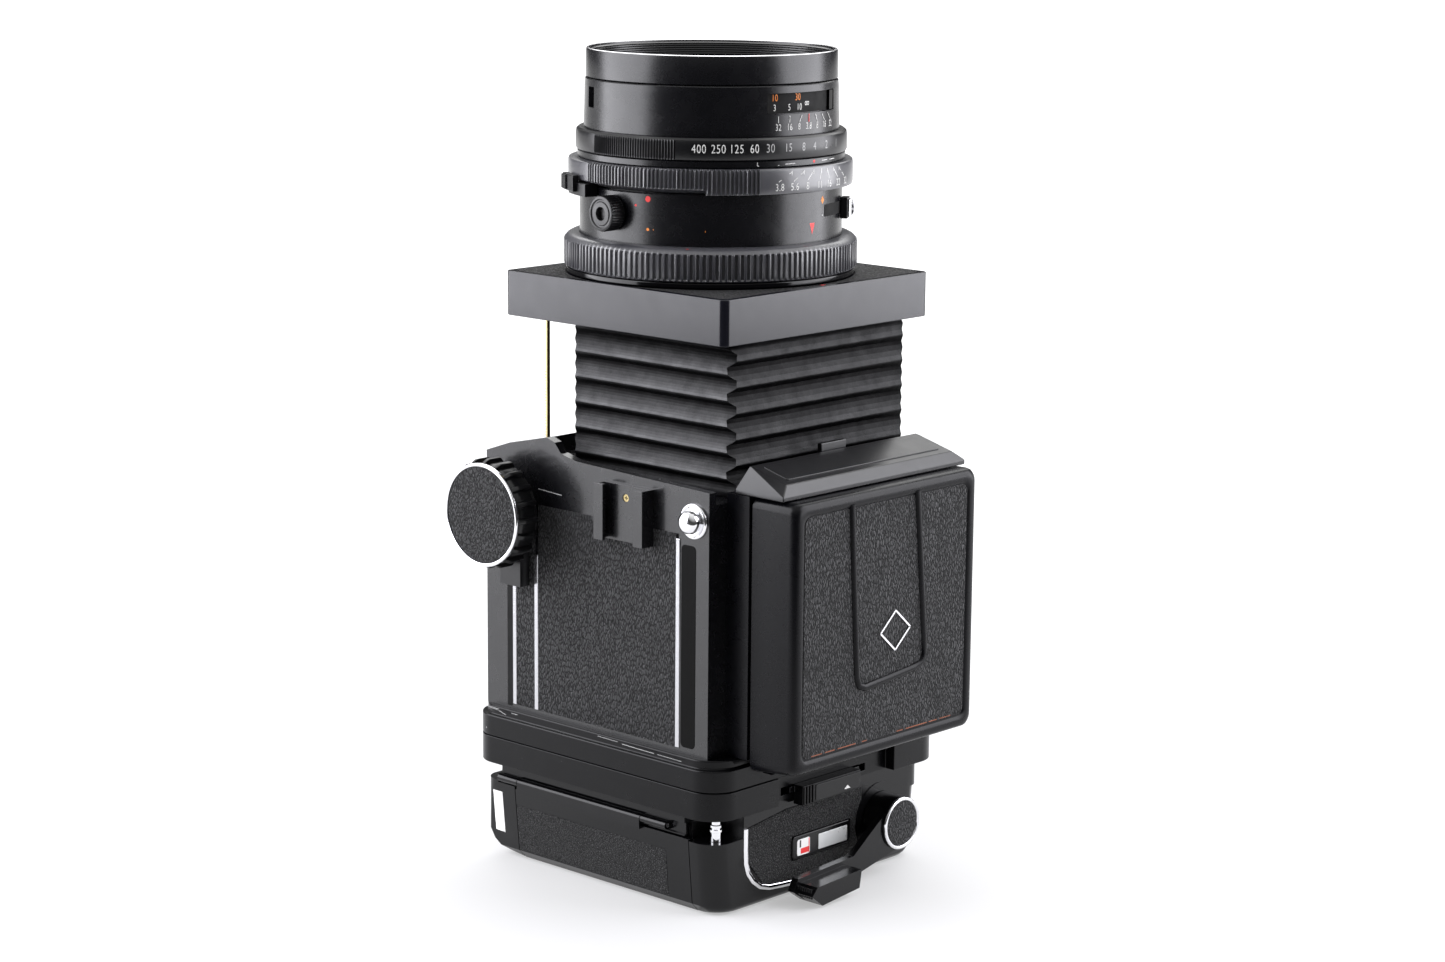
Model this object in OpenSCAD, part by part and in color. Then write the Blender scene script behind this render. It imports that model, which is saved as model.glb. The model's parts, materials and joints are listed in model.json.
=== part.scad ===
// Medium-format reflex camera standing on its film back, bellows drawn out.
// Origin: on the optical axis, in the rest plane under the film back.
// +Z towards the subject, +X towards the viewfinder, -Y the camera's left side.

/* [Body] */
// Half width of the body between its leather-covered sides
body_hw = 52; // [51.5:0.1:52.5]
// Underside of the body, below the optical axis
body_low = 50.6; // [50.4:0.1:51.5]
// Top of the body, above the optical axis
body_top = 49; // [48.8:0.1:49.4]
// Height of the body's front rim at the finder
rim_z = 137; // [136.8:0.1:137.4]
// Height of the raised cheeks over the focusing racks
cheek_z = 145; // [144:0.5:146]

/* [Film back] */
// Thickness of the film back
back_t = 33; // [32.8:0.1:33.1]
// Half width of the film back
back_hw = 51; // [50.5:0.1:51.5]
// Half size of the square revolving adapter
adapter_h = 55.5; // [55:0.1:56]
// Corner radius of the revolving adapter
adapter_r = 10; // [8:0.5:12]

/* [Focusing] */
// Underside of the lens panel, bellows drawn out
panel_z = 182; // [181.5:0.1:182]
// Thickness of the lens panel
panel_t = 14.4; // [14:0.1:14.4]
// Number of bellows pleats
pleats = 6; // [4:1:8]
// Radius of the focusing knobs
knob_r = 18; // [16:0.5:19]
// Number of teeth on each focusing pinion
pinion_teeth = 40; // [40:1:40]

/* [Lens] */
// Radius of the filter thread
thread_r = 38.5; // [38:0.1:38.8]
// Outer radius of the lens front
rim_r = 40.3; // [40.1:0.1:40.5]
// Outer radius of the breech-lock ring
breech_r = 47.3; // [46.8:0.1:48]
// Number of ribs round the breech-lock ring
breech_ribs = 100; // [60:2:120]

/* [Finder] */
// Top face of the closed finder lid
lid_top = 77.4; // [76:0.1:78]
// Half width of the finder lid
lid_hw = 43.8; // [43:0.1:43.9]

/* [Hidden] */
$fn = 96;
e = 0.5;                    // how far a cutter runs past the face it cuts
fit = 0.05;                 // radial clearance of a shaft in its bore
skin = 0.5;                 // thickness of the leather covering

// Levels up the optical axis
plate_z = 33.2;             // underside of the revolving plate
ring_z = 42.4;              // underside of the fixed adapter ring
body_z = 52.4;              // rear of the body
floor_z = 133;              // floor of the front recess, where the bellows starts
panel_top = panel_z + panel_t;
breech_z = 198.5;
breech_top = 209;
aperture_z = 225.4;
index_z = 233.5;
shutter_z = 235.9;
barrel_z = 243;
collar_z = 258.9;
lens_top = 268;

// Body
wall = 2.4;
in_low = -body_low + wall;  // inner faces of the body
in_top = body_top - wall;
in_hw = body_hw - wall;
in_z = body_z + 2.4;
front_in = floor_z - 2;
rim_wall = 3.2;             // width of the rim round the front recess
gate = 36.5;                // half size of the square film opening
mouth_low = -19.5;          // opening to the bellows
mouth_top = 43.8;
mouth_hw = 37;
strip_y = body_hw + 0.35;   // chrome strips stand this far out
leather_low = 54;
leather_high = 122.5;
lug_x = 42.8;
lug_z = 127.4;
shoe_x = 14.6;
shoe_z = 116.8;
shoe_l = 18;
shoe_w = 21.4;

// Focusing drive
shaft_x = -37.5;
shaft_z = 119.6;
shaft_r = 2.5;
gear_m = 0.3;               // module of the racks and pinions
pitch_r = pinion_teeth * gear_m / 2;
gear_p = PI * gear_m;
rack_x = shaft_x + pitch_r; // pitch line of the racks
rack_y = 43.3;
rack_w = 1.3;
rack_low = 108;
knob_in = 57.2;
knob_out = 66.2;

// Reflex mirror, hinged behind the focusing screen
hinge_x = 41;
hinge_z = 58.5;
mirror_l = 84;
mirror_hw = 35.8;

// Release and cocking controls on the right side
press_x = -40.5;
press_y = 43.6;
press_r = 4.5;
cock_x = 4;
cock_z = 108;

// Lens panel and bellows
panel_low = -45.4;
panel_high = 51.6;
panel_hw = 48.6;
throat_r = 31.5;
bellows_low = -21.3;
bellows_high = 47.9;
bellows_hw = 41;
fold = 3;                   // depth of one bellows pleat
bellows_in = 3.9;           // from the ridge of a pleat to the inside

// Lens
barrel_r = 42.3;
core_r = 40.5;
bore_r = 34;
scale_r = 38.6;
cell_r = 37.2;
glass_r = 28;
rear_r = 17.2;
up_knob_z = 218.2;
up_knob_az = -92.5;
terminal_az = 60;

// Finder
frame_top = 58.3;
frame_hw = 44;
frame_z = 52.6;
lid_low = 59.1;
lid_z = 48.6;
lid_high = 136.1;
lid_axis_x = 59.7;
lid_axis_z = 47.2;
flap_x = 60.4;
flap_y = 39.8;
flap_l = 39;

// Film back
shell_low = -54.2;           // the left end bulges past the flange
flange_low = -46;
shell_high = 51;
door_low = -38.7;
door_high = 40;
spool_y = 32.4;
spool_z = 15.8;
spool_r = 11;
hub_y = 29;                  // film advance lever
hub_z = 16.8;
door_axis_y = -50.9;
door_axis_z = 27.2;
knuckles = [[-46, -37], [20, 31]];
door_knuckle = [-36.7, 19.7];

// ---- shared shapes ----

// Box between two corners
module box(low, high) {
    translate(low) cube(high - low);
}

// Square plate about the optical axis with rounded corners
module round_plate(half, radius, z0, z1) {
    translate([0, 0, z0]) linear_extrude(z1 - z0) {
        square([2 * half, 2 * (half - radius)], center = true);
        square([2 * (half - radius), 2 * half], center = true);
        for (sx = [-1, 1], sy = [-1, 1])
            translate([sx * (half - radius), sy * (half - radius)]) circle(radius);
    }
}

// Ring about the optical axis
module ring(outer, inner, z0, z1) {
    difference() {
        translate([0, 0, z0]) cylinder(h = z1 - z0, r = outer);
        translate([0, 0, z0 - e]) cylinder(h = z1 - z0 + 2 * e, r = inner);
    }
}

// Cylinder along Y between two planes
module y_rod(x, z, y0, y1, radius) {
    translate([x, y1, z]) rotate([90, 0, 0]) cylinder(h = y1 - y0, r = radius);
}

// Cylinder along X between two planes
module x_rod(y, z, x0, x1, radius) {
    translate([x0, y, z]) rotate([0, 90, 0]) cylinder(h = x1 - x0, r = radius);
}

// Cylinder along Z between two planes
module z_rod(x, y, z0, z1, radius) {
    translate([x, y, z0]) cylinder(h = z1 - z0, r = radius);
}

// Outline in the X-Z plane, drawn out along Y between two planes
module y_sweep(y0, y1, points) {
    translate([0, y1, 0]) rotate([90, 0, 0]) linear_extrude(y1 - y0) polygon(points);
}

// Outline in the Y-Z plane, drawn out along X between two planes
module x_sweep(x0, x1, points) {
    translate([x0, 0, 0]) rotate([90, 0, 90]) linear_extrude(x1 - x0) polygon(points);
}

// Same thing on both sides of the camera
module both_sides() {
    children();
    mirror([0, 1, 0]) children();
}

// Round outline with straight ribs, one rib for each step
function ribbed(radius, depth, count) = [
    for (i = [0 : count - 1], k = [0 : 3])
        let (turn = 360 * (i + [0.08, 0.2, 0.5, 0.62][k]) / count)
        let (r = (k == 0 || k == 3) ? radius - depth : radius)
        [r * cos(turn), r * sin(turn)]
];

// Piece of a ring between two azimuths, as a polygon outline
function sector(inner, outer, from, to) = concat(
    [for (i = [0 : 8]) let (t = from + (to - from) * i / 8) outer * [cos(t), sin(t)]],
    [for (i = [8 : -1 : 0]) let (t = from + (to - from) * i / 8) inner * [cos(t), sin(t)]]
);

// ---- body ----

function body_outline() = [
    [-body_low, body_z], [body_top, body_z], [body_top, rim_z],
    [-9, rim_z + 2], [-16, rim_z + 3.6], [-18.8, cheek_z - 1.2], [-22.5, cheek_z],
    [-40, cheek_z - 4], [-body_low, rim_z + 0.3]
];

// Shallow pocket for the leather and the chrome strips on one side
module side_pocket() {
    box([-38.2, -body_hw - e, leather_low], [36.9, -body_hw + skin, leather_high]);
}

module body_shell() {
    color("#151517") difference() {
        union() {
            difference() {
                y_sweep(-body_hw, body_hw, body_outline());
                box([in_low, -in_hw, in_z], [in_top, in_hw, front_in]);
                box([-body_low + rim_wall + 0.8, -body_hw + rim_wall, floor_z],
                    [body_top + e, body_hw - rim_wall, cheek_z + e]);
            }
            z_rod(press_x, press_y, front_in, cheek_z + 1, press_r + 1.1);
        }
        box([mouth_low, -mouth_hw, front_in - e], [mouth_top, mouth_hw, floor_z + e]);
        box([-gate, -gate, body_z - e], [gate, gate, in_z + e]);
        box([in_top - e, -38.5, 57], [body_top + e, 38.5, 131 - e]);
        both_sides() {
            box([rack_x - 1.2, rack_y - 1.3, front_in - e], [rack_x + 1.9, rack_y + 1.3, floor_z + e]);
            y_rod(shaft_x, shaft_z, in_hw - e, body_hw + e, shaft_r + fit);
            side_pocket();
        }
        x_rod(0, 95, -body_low - e, in_low + e, 9);
        box([-body_low - e, -42, 62], [-body_low + skin, 42, 126]);
        z_rod(press_x, press_y, front_in + 3.5, cheek_z + 2, press_r + fit);
        y_rod(cock_x, cock_z, body_hw - 1.8, body_hw + e, 4 + fit);
    }
}

module body_leather() {
    color("#26262a") {
        difference() {
            both_sides() {
                box([-36.6, -body_hw - 0.1, leather_low], [-28.1, -body_hw + skin, leather_high]);
                box([-26.4, -body_hw - 0.1, leather_low], [35.2, -body_hw + skin, leather_high]);
            }
            box([shoe_x - shoe_w / 2, -body_hw - e, shoe_z],
                [shoe_x + shoe_w / 2, -body_hw + 1, leather_high + e]);
            y_rod(cock_x, cock_z, body_hw - 1, body_hw + e, 4.6);
            y_rod(shaft_x, shaft_z, -body_hw - e, body_hw + e, shaft_r + 0.4);
        }
        difference() {
            box([-body_low, -42, 62], [-body_low + skin, 42, 126]);
            x_rod(0, 95, -body_low - e, -body_low + 1, 12);
        }
    }
}

module chrome_strips() {
    color("#d8d8da") both_sides() {
        box([-38.2, -strip_y, leather_low], [-36.6, -body_hw + skin, 96]);
        box([-28.1, -strip_y, leather_low], [-26.4, -body_hw + skin, 106]);
        box([35.2, -strip_y, leather_low], [36.9, -body_hw + skin, 121]);
    }
}

module accessory_shoe() {
    lip = 4.1;
    seat = body_hw - skin;
    color("#1c1c1f") translate([shoe_x, 0, 0]) difference() {
        box([-shoe_w / 2, -body_hw - 5.2, shoe_z], [shoe_w / 2, -seat, shoe_z + shoe_l]);
        box([-shoe_w / 2 + 1.4, -body_hw - 3.9, shoe_z - e],
            [shoe_w / 2 - 1.4, -body_hw - 1.6, shoe_z + shoe_l + e]);
        box([-shoe_w / 2 + lip, -body_hw - 6, shoe_z - e],
            [shoe_w / 2 - lip, -body_hw - 1.6, shoe_z + shoe_l + e]);
        box([-shoe_w / 2 - e, -body_hw, leather_high], [shoe_w / 2 + e, -seat + e, shoe_z + shoe_l + e]);
        y_rod(0, shoe_z + shoe_l - 4, -body_hw - 2, -body_hw + 1, 1.3);
    }
}

// Cross-head screw with its head outward along -X or -Y
module screw_head(radius, height) {
    difference() {
        cylinder(h = height, r = radius);
        for (turn = [0, 90])
            rotate(turn) translate([-radius * 0.6, -radius * 0.12, height * 0.45])
                cube([radius * 1.2, radius * 0.24, height]);
    }
}

module body_screws() {
    color("#3a3a3c") {
        translate([shoe_x, -body_hw, shoe_z + shoe_l - 4]) rotate([90, 0, 0]) screw_head(1.2, 1.3);
        for (y = [-46, 46], z = [57, 127])
            translate([-body_low, y, z]) rotate([0, -90, 0]) screw_head(1.9, 0.8);
    }
}

module strap_lugs() {
    color("#dcdcdf") both_sides() {
        difference() {
            y_rod(lug_x, lug_z, -body_hw - 1.1, -body_hw, 5.85);
            y_rod(lug_x, lug_z, -body_hw - 2, -body_hw - 0.4, 4.9);
        }
        y_rod(lug_x, lug_z, -body_hw - 1.4, -body_hw - 0.4, 1.9);
        y_rod(lug_x, lug_z, -body_hw - 3.4, -body_hw - 1.4, 3.3);
    }
}

module tripod_socket() {
    color("#c9c9cc") difference() {
        x_rod(0, 95, -body_low, in_low + 6, 9);
        x_rod(0, 95, -body_low - e, in_low + 5, 3.175);
    }
}

module mirror_box() {
    t = 1.5;
    low = -36.8;
    step_z = 112;
    color("#101012") difference() {
        union() {
            box([low, -mouth_hw - 3.6, in_z], [in_top - 0.7, mouth_hw + 3.6, step_z]);
            box([low + 3.6, -mouth_hw - 3.6, step_z - t], [in_top - 0.7, mouth_hw + 3.6, front_in]);
        }
        box([low + t, -mouth_hw - 2.1, in_z + t], [in_top - 0.7 - t, mouth_hw + 2.1, step_z - t]);
        box([low + 3.6 + t, -mouth_hw - 2.1, step_z - 2 * t],
            [in_top - 0.7 - t, mouth_hw + 2.1, front_in - t]);
        box([-35.3, -gate + 0.5, in_z - e], [35.3, gate - 0.5, in_z + 2 * t]);
        box([mouth_low, -mouth_hw, front_in - 2 * t], [mouth_top, mouth_hw, front_in + e]);
        box([in_top - 3, -37.3, 58], [in_top + e, 37.3, 128.5]);
        both_sides() y_rod(hinge_x, hinge_z, mouth_hw + 1, mouth_hw + 5, 1.5 + fit);
    }
}

module focusing_screen() {
    color("#cfd8d8", 0.5) box([in_top - 0.7, -38.3, 57.2], [body_top - 0.6, 38.3, 130.3]);
}

module adapter_ring() {
    color("#1a1a1d") difference() {
        union() {
            round_plate(adapter_h, adapter_r, ring_z, ring_z + 7.1);
            round_plate(adapter_h - 1.3, adapter_r, ring_z + 7.1, body_z);
        }
        z_rod(0, 0, ring_z - e, ring_z + 4.2, 49 + fit);
        box([-gate, -gate, ring_z], [gate, gate, body_z + e]);
    }
}

// ---- reflex mirror ----

// Puts a mirror part, drawn in the raised position at the hinge, at 45 degrees
module mirror_place() {
    translate([hinge_x, 0, hinge_z]) rotate([0, -45, 0]) children();
}

module mirror_carrier() {
    color("#2a2a2c") mirror_place() union() {
        box([-0.5, -mirror_hw, 0.5], [0.8, mirror_hw, mirror_l]);
        y_rod(0, 0, -mouth_hw - 3.4, mouth_hw + 3.4, 1.5);
        for (y = [-1, 1])
            box([-1.5, y * (mirror_hw - 0.8) - 0.8, 4], [-0.5, y * (mirror_hw - 0.8) + 0.8, 60]);
    }
}

module reflex_mirror() {
    color("#c4ccd2") mirror_place()
        box([0.8, -mirror_hw + 1.7, 3.5], [2, mirror_hw - 1.7, mirror_l - 1.5]);
}

// ---- focusing drive and body controls ----

// Pinion outline with one tooth on the +X axis
function pinion_outline() = [
    for (i = [0 : pinion_teeth - 1], k = [0 : 3])
        let (turn = 360 * (i + [-0.3, -0.09, 0.09, 0.3][k]) / pinion_teeth)
        let (r = pitch_r + ((k == 0 || k == 3) ? -1.25 : 0.85) * gear_m)
        [r * cos(turn), r * sin(turn)]
];

module focus_shaft() {
    color("#b9b9bd") union() {
        y_rod(shaft_x, shaft_z, -knob_in - 5, knob_in + 5, shaft_r);
        both_sides() translate([shaft_x, rack_y + 1, shaft_z]) rotate([90, 0, 0])
            linear_extrude(2) polygon(pinion_outline());
    }
}

module focus_knobs() {
    color("#1b1b1d") both_sides() difference() {
        union() {
            translate([shaft_x, -knob_in, shaft_z]) rotate([90, 0, 0])
                linear_extrude(knob_out - knob_in - 1.5) polygon(ribbed(knob_r, 0.9, 20));
            y_rod(shaft_x, shaft_z, -knob_out, -knob_out + 1.5, knob_r - 0.7);
            y_rod(shaft_x, shaft_z, -knob_out - 0.4, -knob_out, 15.8);
        }
        y_rod(shaft_x, shaft_z, -knob_in - 5, -knob_in + e, shaft_r);
    }
}

module knob_rings() {
    color("#dcdcdf") both_sides() difference() {
        y_rod(shaft_x, shaft_z, -knob_out - 0.9, -knob_out, 16.9);
        y_rod(shaft_x, shaft_z, -knob_out - 2, -knob_out + 1, 15.9);
    }
}

module focus_lock_lever() {
    color("#1c1c1e") difference() {
        union() {
            y_rod(shaft_x, shaft_z, -knob_in + 0.4, -body_hw - 0.5, 10);
            box([shaft_x - 2, -knob_in + 0.4, 95.3], [shaft_x + 7.6, -body_hw - 0.7, shaft_z]);
        }
        y_rod(shaft_x, shaft_z, -knob_in - 1, -body_hw + 1, shaft_r + fit);
    }
}

module cocking_lever() {
    color("#1d1d20") union() {
        y_rod(cock_x, cock_z, body_hw - 1.6, body_hw + 0.6, 4);
        y_rod(cock_x, cock_z, body_hw + 0.6, body_hw + 6.5, 11.5);
        box([cock_x, body_hw + 1.2, cock_z - 6], [cock_x + 33, body_hw + 4.6, cock_z + 6]);
        y_rod(cock_x + 33, cock_z, body_hw + 1.2, body_hw + 9, 6);
    }
}

module release_button() {
    color("#cfcfd2") difference() {
        union() {
            z_rod(press_x, press_y, front_in + 6.5, cheek_z + 2, press_r);
            z_rod(press_x, press_y, cheek_z + 2, cheek_z + 4, 3.6);
        }
        z_rod(press_x, press_y, cheek_z - 2, cheek_z + 5, 1.6);
    }
}

// ---- lens panel and bellows ----

module panel_blank(margin, z0, z1, radius) {
    width = panel_high - panel_low - 2 * margin;
    depth = 2 * (panel_hw - margin);
    translate([(panel_low + panel_high) / 2, 0, z0]) linear_extrude(z1 - z0) {
        square([width, depth - 2 * radius], center = true);
        square([width - 2 * radius, depth], center = true);
        for (sx = [-1, 1], sy = [-1, 1])
            translate([sx * (width / 2 - radius), sy * (depth / 2 - radius)]) circle(radius);
    }
}

// Corner left free for the shutter release
module panel_notch() {
    box([panel_low - e, 37.6, panel_z - e], [press_x + 6.1, panel_hw + e, panel_top + e]);
}

module front_plate() {
    color("#2a2a2e") difference() {
        panel_blank(0, panel_z, panel_top, 2.6);
        panel_blank(2.4, panel_top - skin, panel_top + e, 2);
        box([bellows_low + bellows_in, -bellows_hw + bellows_in, panel_z - e],
            [bellows_high - bellows_in, bellows_hw - bellows_in, panel_top - 4]);
        z_rod(0, 0, panel_z + 2, panel_top + e, throat_r);
        panel_notch();
    }
}

module front_leather() {
    color("#26262a") difference() {
        panel_blank(2.6, panel_top - skin, panel_top - 0.1, 2);
        z_rod(0, 0, panel_z, panel_top + e, 46.8);
        translate([-1.8, -1.8, 0]) panel_notch();
    }
}

// Rack outline in X-Z with a gap opposite the pinion's tooth
function rack_outline() = concat(
    [[rack_x + 1, panel_z], [rack_x + 1, rack_low], [rack_x + 0.45, rack_low]],
    [for (i = [-7 : 47], k = [0 : 3])
        [rack_x + ((k == 0 || k == 3) ? 0.45 : -0.2),
         shaft_z + (i + [0.26, 0.4, 0.6, 0.74][k]) * gear_p]],
    [[rack_x + 0.45, panel_z]]
);

module focus_racks() {
    color("#a8925c") both_sides()
        y_sweep(rack_y - rack_w / 2, rack_y + rack_w / 2, rack_outline());
}

module lens_mount() {
    color("#9a9a9e") difference() {
        union() {
            z_rod(0, 0, panel_top + fit, breech_z - 0.2, 46.6);
            z_rod(0, 0, breech_z - 0.2, breech_z + 1.5, 41.9);
        }
        z_rod(0, 0, panel_top - e, breech_z + 3, throat_r);
    }
}

// One frame of the bellows, its outside drawn in by a given amount
module bellows_frame(inset, z0, z1) {
    box([bellows_low + inset, -bellows_hw + inset, z0], [bellows_high - inset, bellows_hw - inset, z1]);
}

module bellows() {
    pitch = (panel_z - floor_z) / pleats;
    color("#1e1e20") difference() {
        union() {
            bellows_frame(fold, floor_z, panel_z);
            for (i = [0 : pleats - 1])
                bellows_frame(0, floor_z + (i + 0.25) * pitch, floor_z + (i + 0.75) * pitch);
        }
        bellows_frame(bellows_in, floor_z - e, panel_z + e);
    }
}

// ---- lens ----

module breech_ring() {
    color("#1f1f22") difference() {
        union() {
            translate([0, 0, breech_z]) linear_extrude(breech_top - breech_z - 1.4)
                polygon(ribbed(breech_r, 0.9, breech_ribs));
            z_rod(0, 0, breech_top - 1.4, breech_top, breech_r - 1);
        }
        z_rod(0, 0, breech_z - e, breech_top + e, barrel_r + fit);
    }
}

module lens_barrel() {
    color("#1b1b1e") difference() {
        union() {
            z_rod(0, 0, breech_z + 1.5, aperture_z - 0.1, barrel_r);
            z_rod(0, 0, aperture_z - 0.1, index_z, core_r);
            z_rod(0, 0, index_z, shutter_z - 0.1, 43);
            z_rod(0, 0, shutter_z - 0.1, barrel_z, core_r - 0.4);
        }
        z_rod(0, 0, breech_z, barrel_z + e, bore_r);
        rotate(up_knob_az) x_rod(0, up_knob_z, bore_r - 1, barrel_r + 2, 2.5 + fit);
        rotate(terminal_az) x_rod(0, 216, bore_r - 1, barrel_r + 2, 3.2);
    }
}

module aperture_ring() {
    color("#18181a") difference() {
        union() {
            translate([0, 0, aperture_z + 0.2]) linear_extrude(index_z - aperture_z - 0.9)
                polygon(ribbed(45.9, 0.8, 90));
            z_rod(0, 0, aperture_z, index_z - 0.1, 45.1);
        }
        z_rod(0, 0, aperture_z - e, index_z + e, core_r + fit);
    }
}

module shutter_ring() {
    color("#18181a") difference() {
        union() {
            z_rod(0, 0, shutter_z, barrel_z - 0.1, 43);
            z_rod(0, 0, shutter_z + 0.6, barrel_z - 0.8, 43.56);
        }
        z_rod(0, 0, shutter_z - e, barrel_z + e, core_r - 0.4 + fit);
    }
}

module front_barrel() {
    color("#1b1b1e") difference() {
        union() {
            z_rod(0, 0, barrel_z, barrel_z + 2, 41);
            z_rod(0, 0, barrel_z + 2, collar_z - 0.2, 40.7);
        }
        z_rod(0, 0, barrel_z - e, collar_z + e, scale_r + 0.2);
        translate([0, 0, 249]) linear_extrude(7) polygon(sector(30, 45, -21.5, 23.5));
    }
    color("#1b1b1e") ring(scale_r + 0.2, bore_r, barrel_z, barrel_z + 1.5);
}

module front_ring() {
    color("#1b1b1e") difference() {
        z_rod(0, 0, collar_z, lens_top, rim_r);
        z_rod(0, 0, collar_z - e, 262.5, cell_r + 0.3);
        z_rod(0, 0, 262, lens_top + e, thread_r);
    }
}

module distance_scale() {
    color("#141416") ring(scale_r, cell_r + 0.3, barrel_z + 3, collar_z);
}

module dof_lever() {
    color("#1b1b1e") translate([0, 0, 221.8]) union() {
        linear_extrude(3.2) polygon(sector(barrel_r + 0.3, 48.5, -126, -107));
        linear_extrude(8) polygon(sector(46.4, 49.8, -121, -112));
    }
}

module mirror_up_knob() {
    color("#1a1a1c") rotate(up_knob_az) difference() {
        union() {
            x_rod(0, up_knob_z, bore_r + 2, barrel_r + 0.5, 2.5);
            x_rod(0, up_knob_z, barrel_r + 0.5, 48.3, 5.6);
        }
        x_rod(0, up_knob_z, 43.5, 49, 1.7);
    }
}

module sync_lever() {
    color("#bdbdc0") translate([0, 0, 214.5]) linear_extrude(7)
        polygon(sector(barrel_r + 0.3, 45.6, terminal_az - 31, terminal_az - 24));
}

module sync_terminal() {
    color("#bdbdc0") rotate(terminal_az) difference() {
        x_rod(0, 216, bore_r + 2, 48, 3.2);
        x_rod(0, 216, 41.2, 48 + e, 2.2);
    }
}

// Lens element bulging by sag on both faces about a plane
module element(radius, z_mid, edge, sag) {
    sphere_r = (radius * radius + sag * sag) / (2 * sag);
    intersection() {
        z_rod(0, 0, z_mid - edge - sag, z_mid + edge + sag, radius);
        translate([0, 0, z_mid + edge + sag - sphere_r]) sphere(sphere_r);
        translate([0, 0, z_mid - edge - sag + sphere_r]) sphere(sphere_r);
    }
}

module lens_glass() {
    color("#8fa6a0", 0.5) {
        element(glass_r, 255.2, 1.6, 5);
        element(22, 236, 1.5, 3);
        element(16.5, 209.6, 1.5, 3);
        element(15, 191, 1.4, 3);
    }
}

module lens_cells() {
    color("#101012") difference() {
        union() {
            z_rod(0, 0, 228, barrel_z + 1.5, bore_r);
            z_rod(0, 0, barrel_z + 1.5, 259, cell_r);
        }
        z_rod(0, 0, 227, 233, 24);
        z_rod(0, 0, 232.5, 239.5, 22);
        z_rod(0, 0, 239, 250, 25);
        z_rod(0, 0, 249.5, 257.5, glass_r);
        translate([0, 0, 257.4]) cylinder(h = 2, r1 = glass_r, r2 = 33.5);
    }
    color("#101012") difference() {
        union() {
            z_rod(0, 0, 186, 213, rear_r);
            z_rod(0, 0, 201, 204, bore_r);
            z_rod(0, 0, 204, 213, 21);
        }
        z_rod(0, 0, 185, 195.5, 15);
        z_rod(0, 0, 195, 206, 13.5);
        z_rod(0, 0, 205.5, 214, 16.5);
    }
}

// Thin blades set round the axis, each lifted over the one before
module blade_set(count, z0, thick, inner, outer, span) {
    for (i = [0 : count - 1])
        translate([0, 0, z0 + i * thick * 1.2]) rotate(i * 360 / count)
            linear_extrude(thick) polygon(sector(inner, outer, 0, span));
}

module shutter_leaves() {
    color("#55585c") blade_set(5, 218, 0.25, 1.5, bore_r, 84);
}

module aperture_blades() {
    color("#3b3d40") blade_set(5, 224, 0.25, 15, bore_r, 80);
}

// ---- finder ----

module finder_frame() {
    color("#141416") difference() {
        union() {
            box([body_top, -frame_hw, frame_z], [frame_top, frame_hw, 136.2]);
            both_sides() for (z = [54, 131])
                box([frame_top - e, -flap_y - 0.9, z], [flap_x + 0.9, -flap_y + 0.9, z + 1.2]);
            both_sides() z_rod(flap_x, -flap_y, 54.5, 132, 0.5);
            both_sides() box([frame_top - 2.2, -34, lid_axis_z - 1.1], [frame_top + 0.6, -26.2, 55]);
            both_sides() box([frame_top, -34, lid_axis_z - 1.1], [lid_axis_x, -26.2, lid_axis_z + 0.9]);
            both_sides() y_rod(lid_axis_x, lid_axis_z, -34, -26.2, 1.1);
        }
        box([body_top - e, -38.3, 57], [frame_top - 1.5, 38.3, 130.5]);
        box([body_top, -36.5, 58.5], [frame_top + e, 36.5, 129]);
        y_rod(lid_axis_x, lid_axis_z, -35, 35, 0.6);
    }
    color("#9a9a9e") y_rod(lid_axis_x, lid_axis_z, -34, 34, 0.6);
}

module finder_front() {
    color("#2b2b30") union() {
        hull() {
            box([52.2, -43.8, 136.3], [72, 43.8, 137.8]);
            y_sweep(-39.8, 39.8, [[53.8, 143], [54.6, 144.8], [69.6, 140.9], [69.6, 139.5]]);
        }
        box([52.2, -6, 140], [54, 6, 147.2]);
    }
}

function lid_outline() = [
    [lid_low, lid_z], [lid_top - 2, lid_z + 1.8], [lid_top, lid_z + 4.8],
    [lid_top, lid_high - 3], [lid_top - 1.9, lid_high], [lid_low, lid_high]
];

module finder_lid() {
    color("#2b2b30") difference() {
        union() {
            y_sweep(-lid_hw, lid_hw, lid_outline());
            both_sides() {
                y_rod(lid_axis_x, lid_axis_z, -25.9, -14, 1.1);
                box([lid_low, -25.9, lid_axis_z], [lid_axis_x + 0.8, -14, lid_z + e]);
            }
        }
        box([lid_low - e, -lid_hw + 1.6, lid_z + 3.6], [lid_top - 2.2, lid_hw - 1.6, lid_high - 1.8]);
        box([lid_top - skin, -lid_hw + 3.4, lid_z + 8], [lid_top + e, lid_hw - 3.4, lid_high - 4.5]);
        y_rod(lid_axis_x, lid_axis_z, -30, 30, 0.6 + fit);
    }
}

module lid_leather() {
    color("#26262a")
        box([lid_top - skin, -lid_hw + 3.4, lid_z + 8], [lid_top - 0.1, lid_hw - 3.4, lid_high - 4.5]);
}

// Folding side of the hood, lying flat over the screen
module side_flap() {
    color("#19191b") difference() {
        union() {
            translate([flap_x - 0.4, -flap_y, 0]) rotate([90, 0, 90]) linear_extrude(0.8)
                polygon([[0, 56], [flap_l, 62], [flap_l, 124], [0, 130]]);
            z_rod(flap_x, -flap_y, 56, 130, 1.1);
        }
        z_rod(flap_x, -flap_y, 55, 131, 0.5 + fit);
    }
}

module left_flap() {
    side_flap();
}

module right_flap() {
    mirror([0, 1, 0]) side_flap();
}

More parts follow.
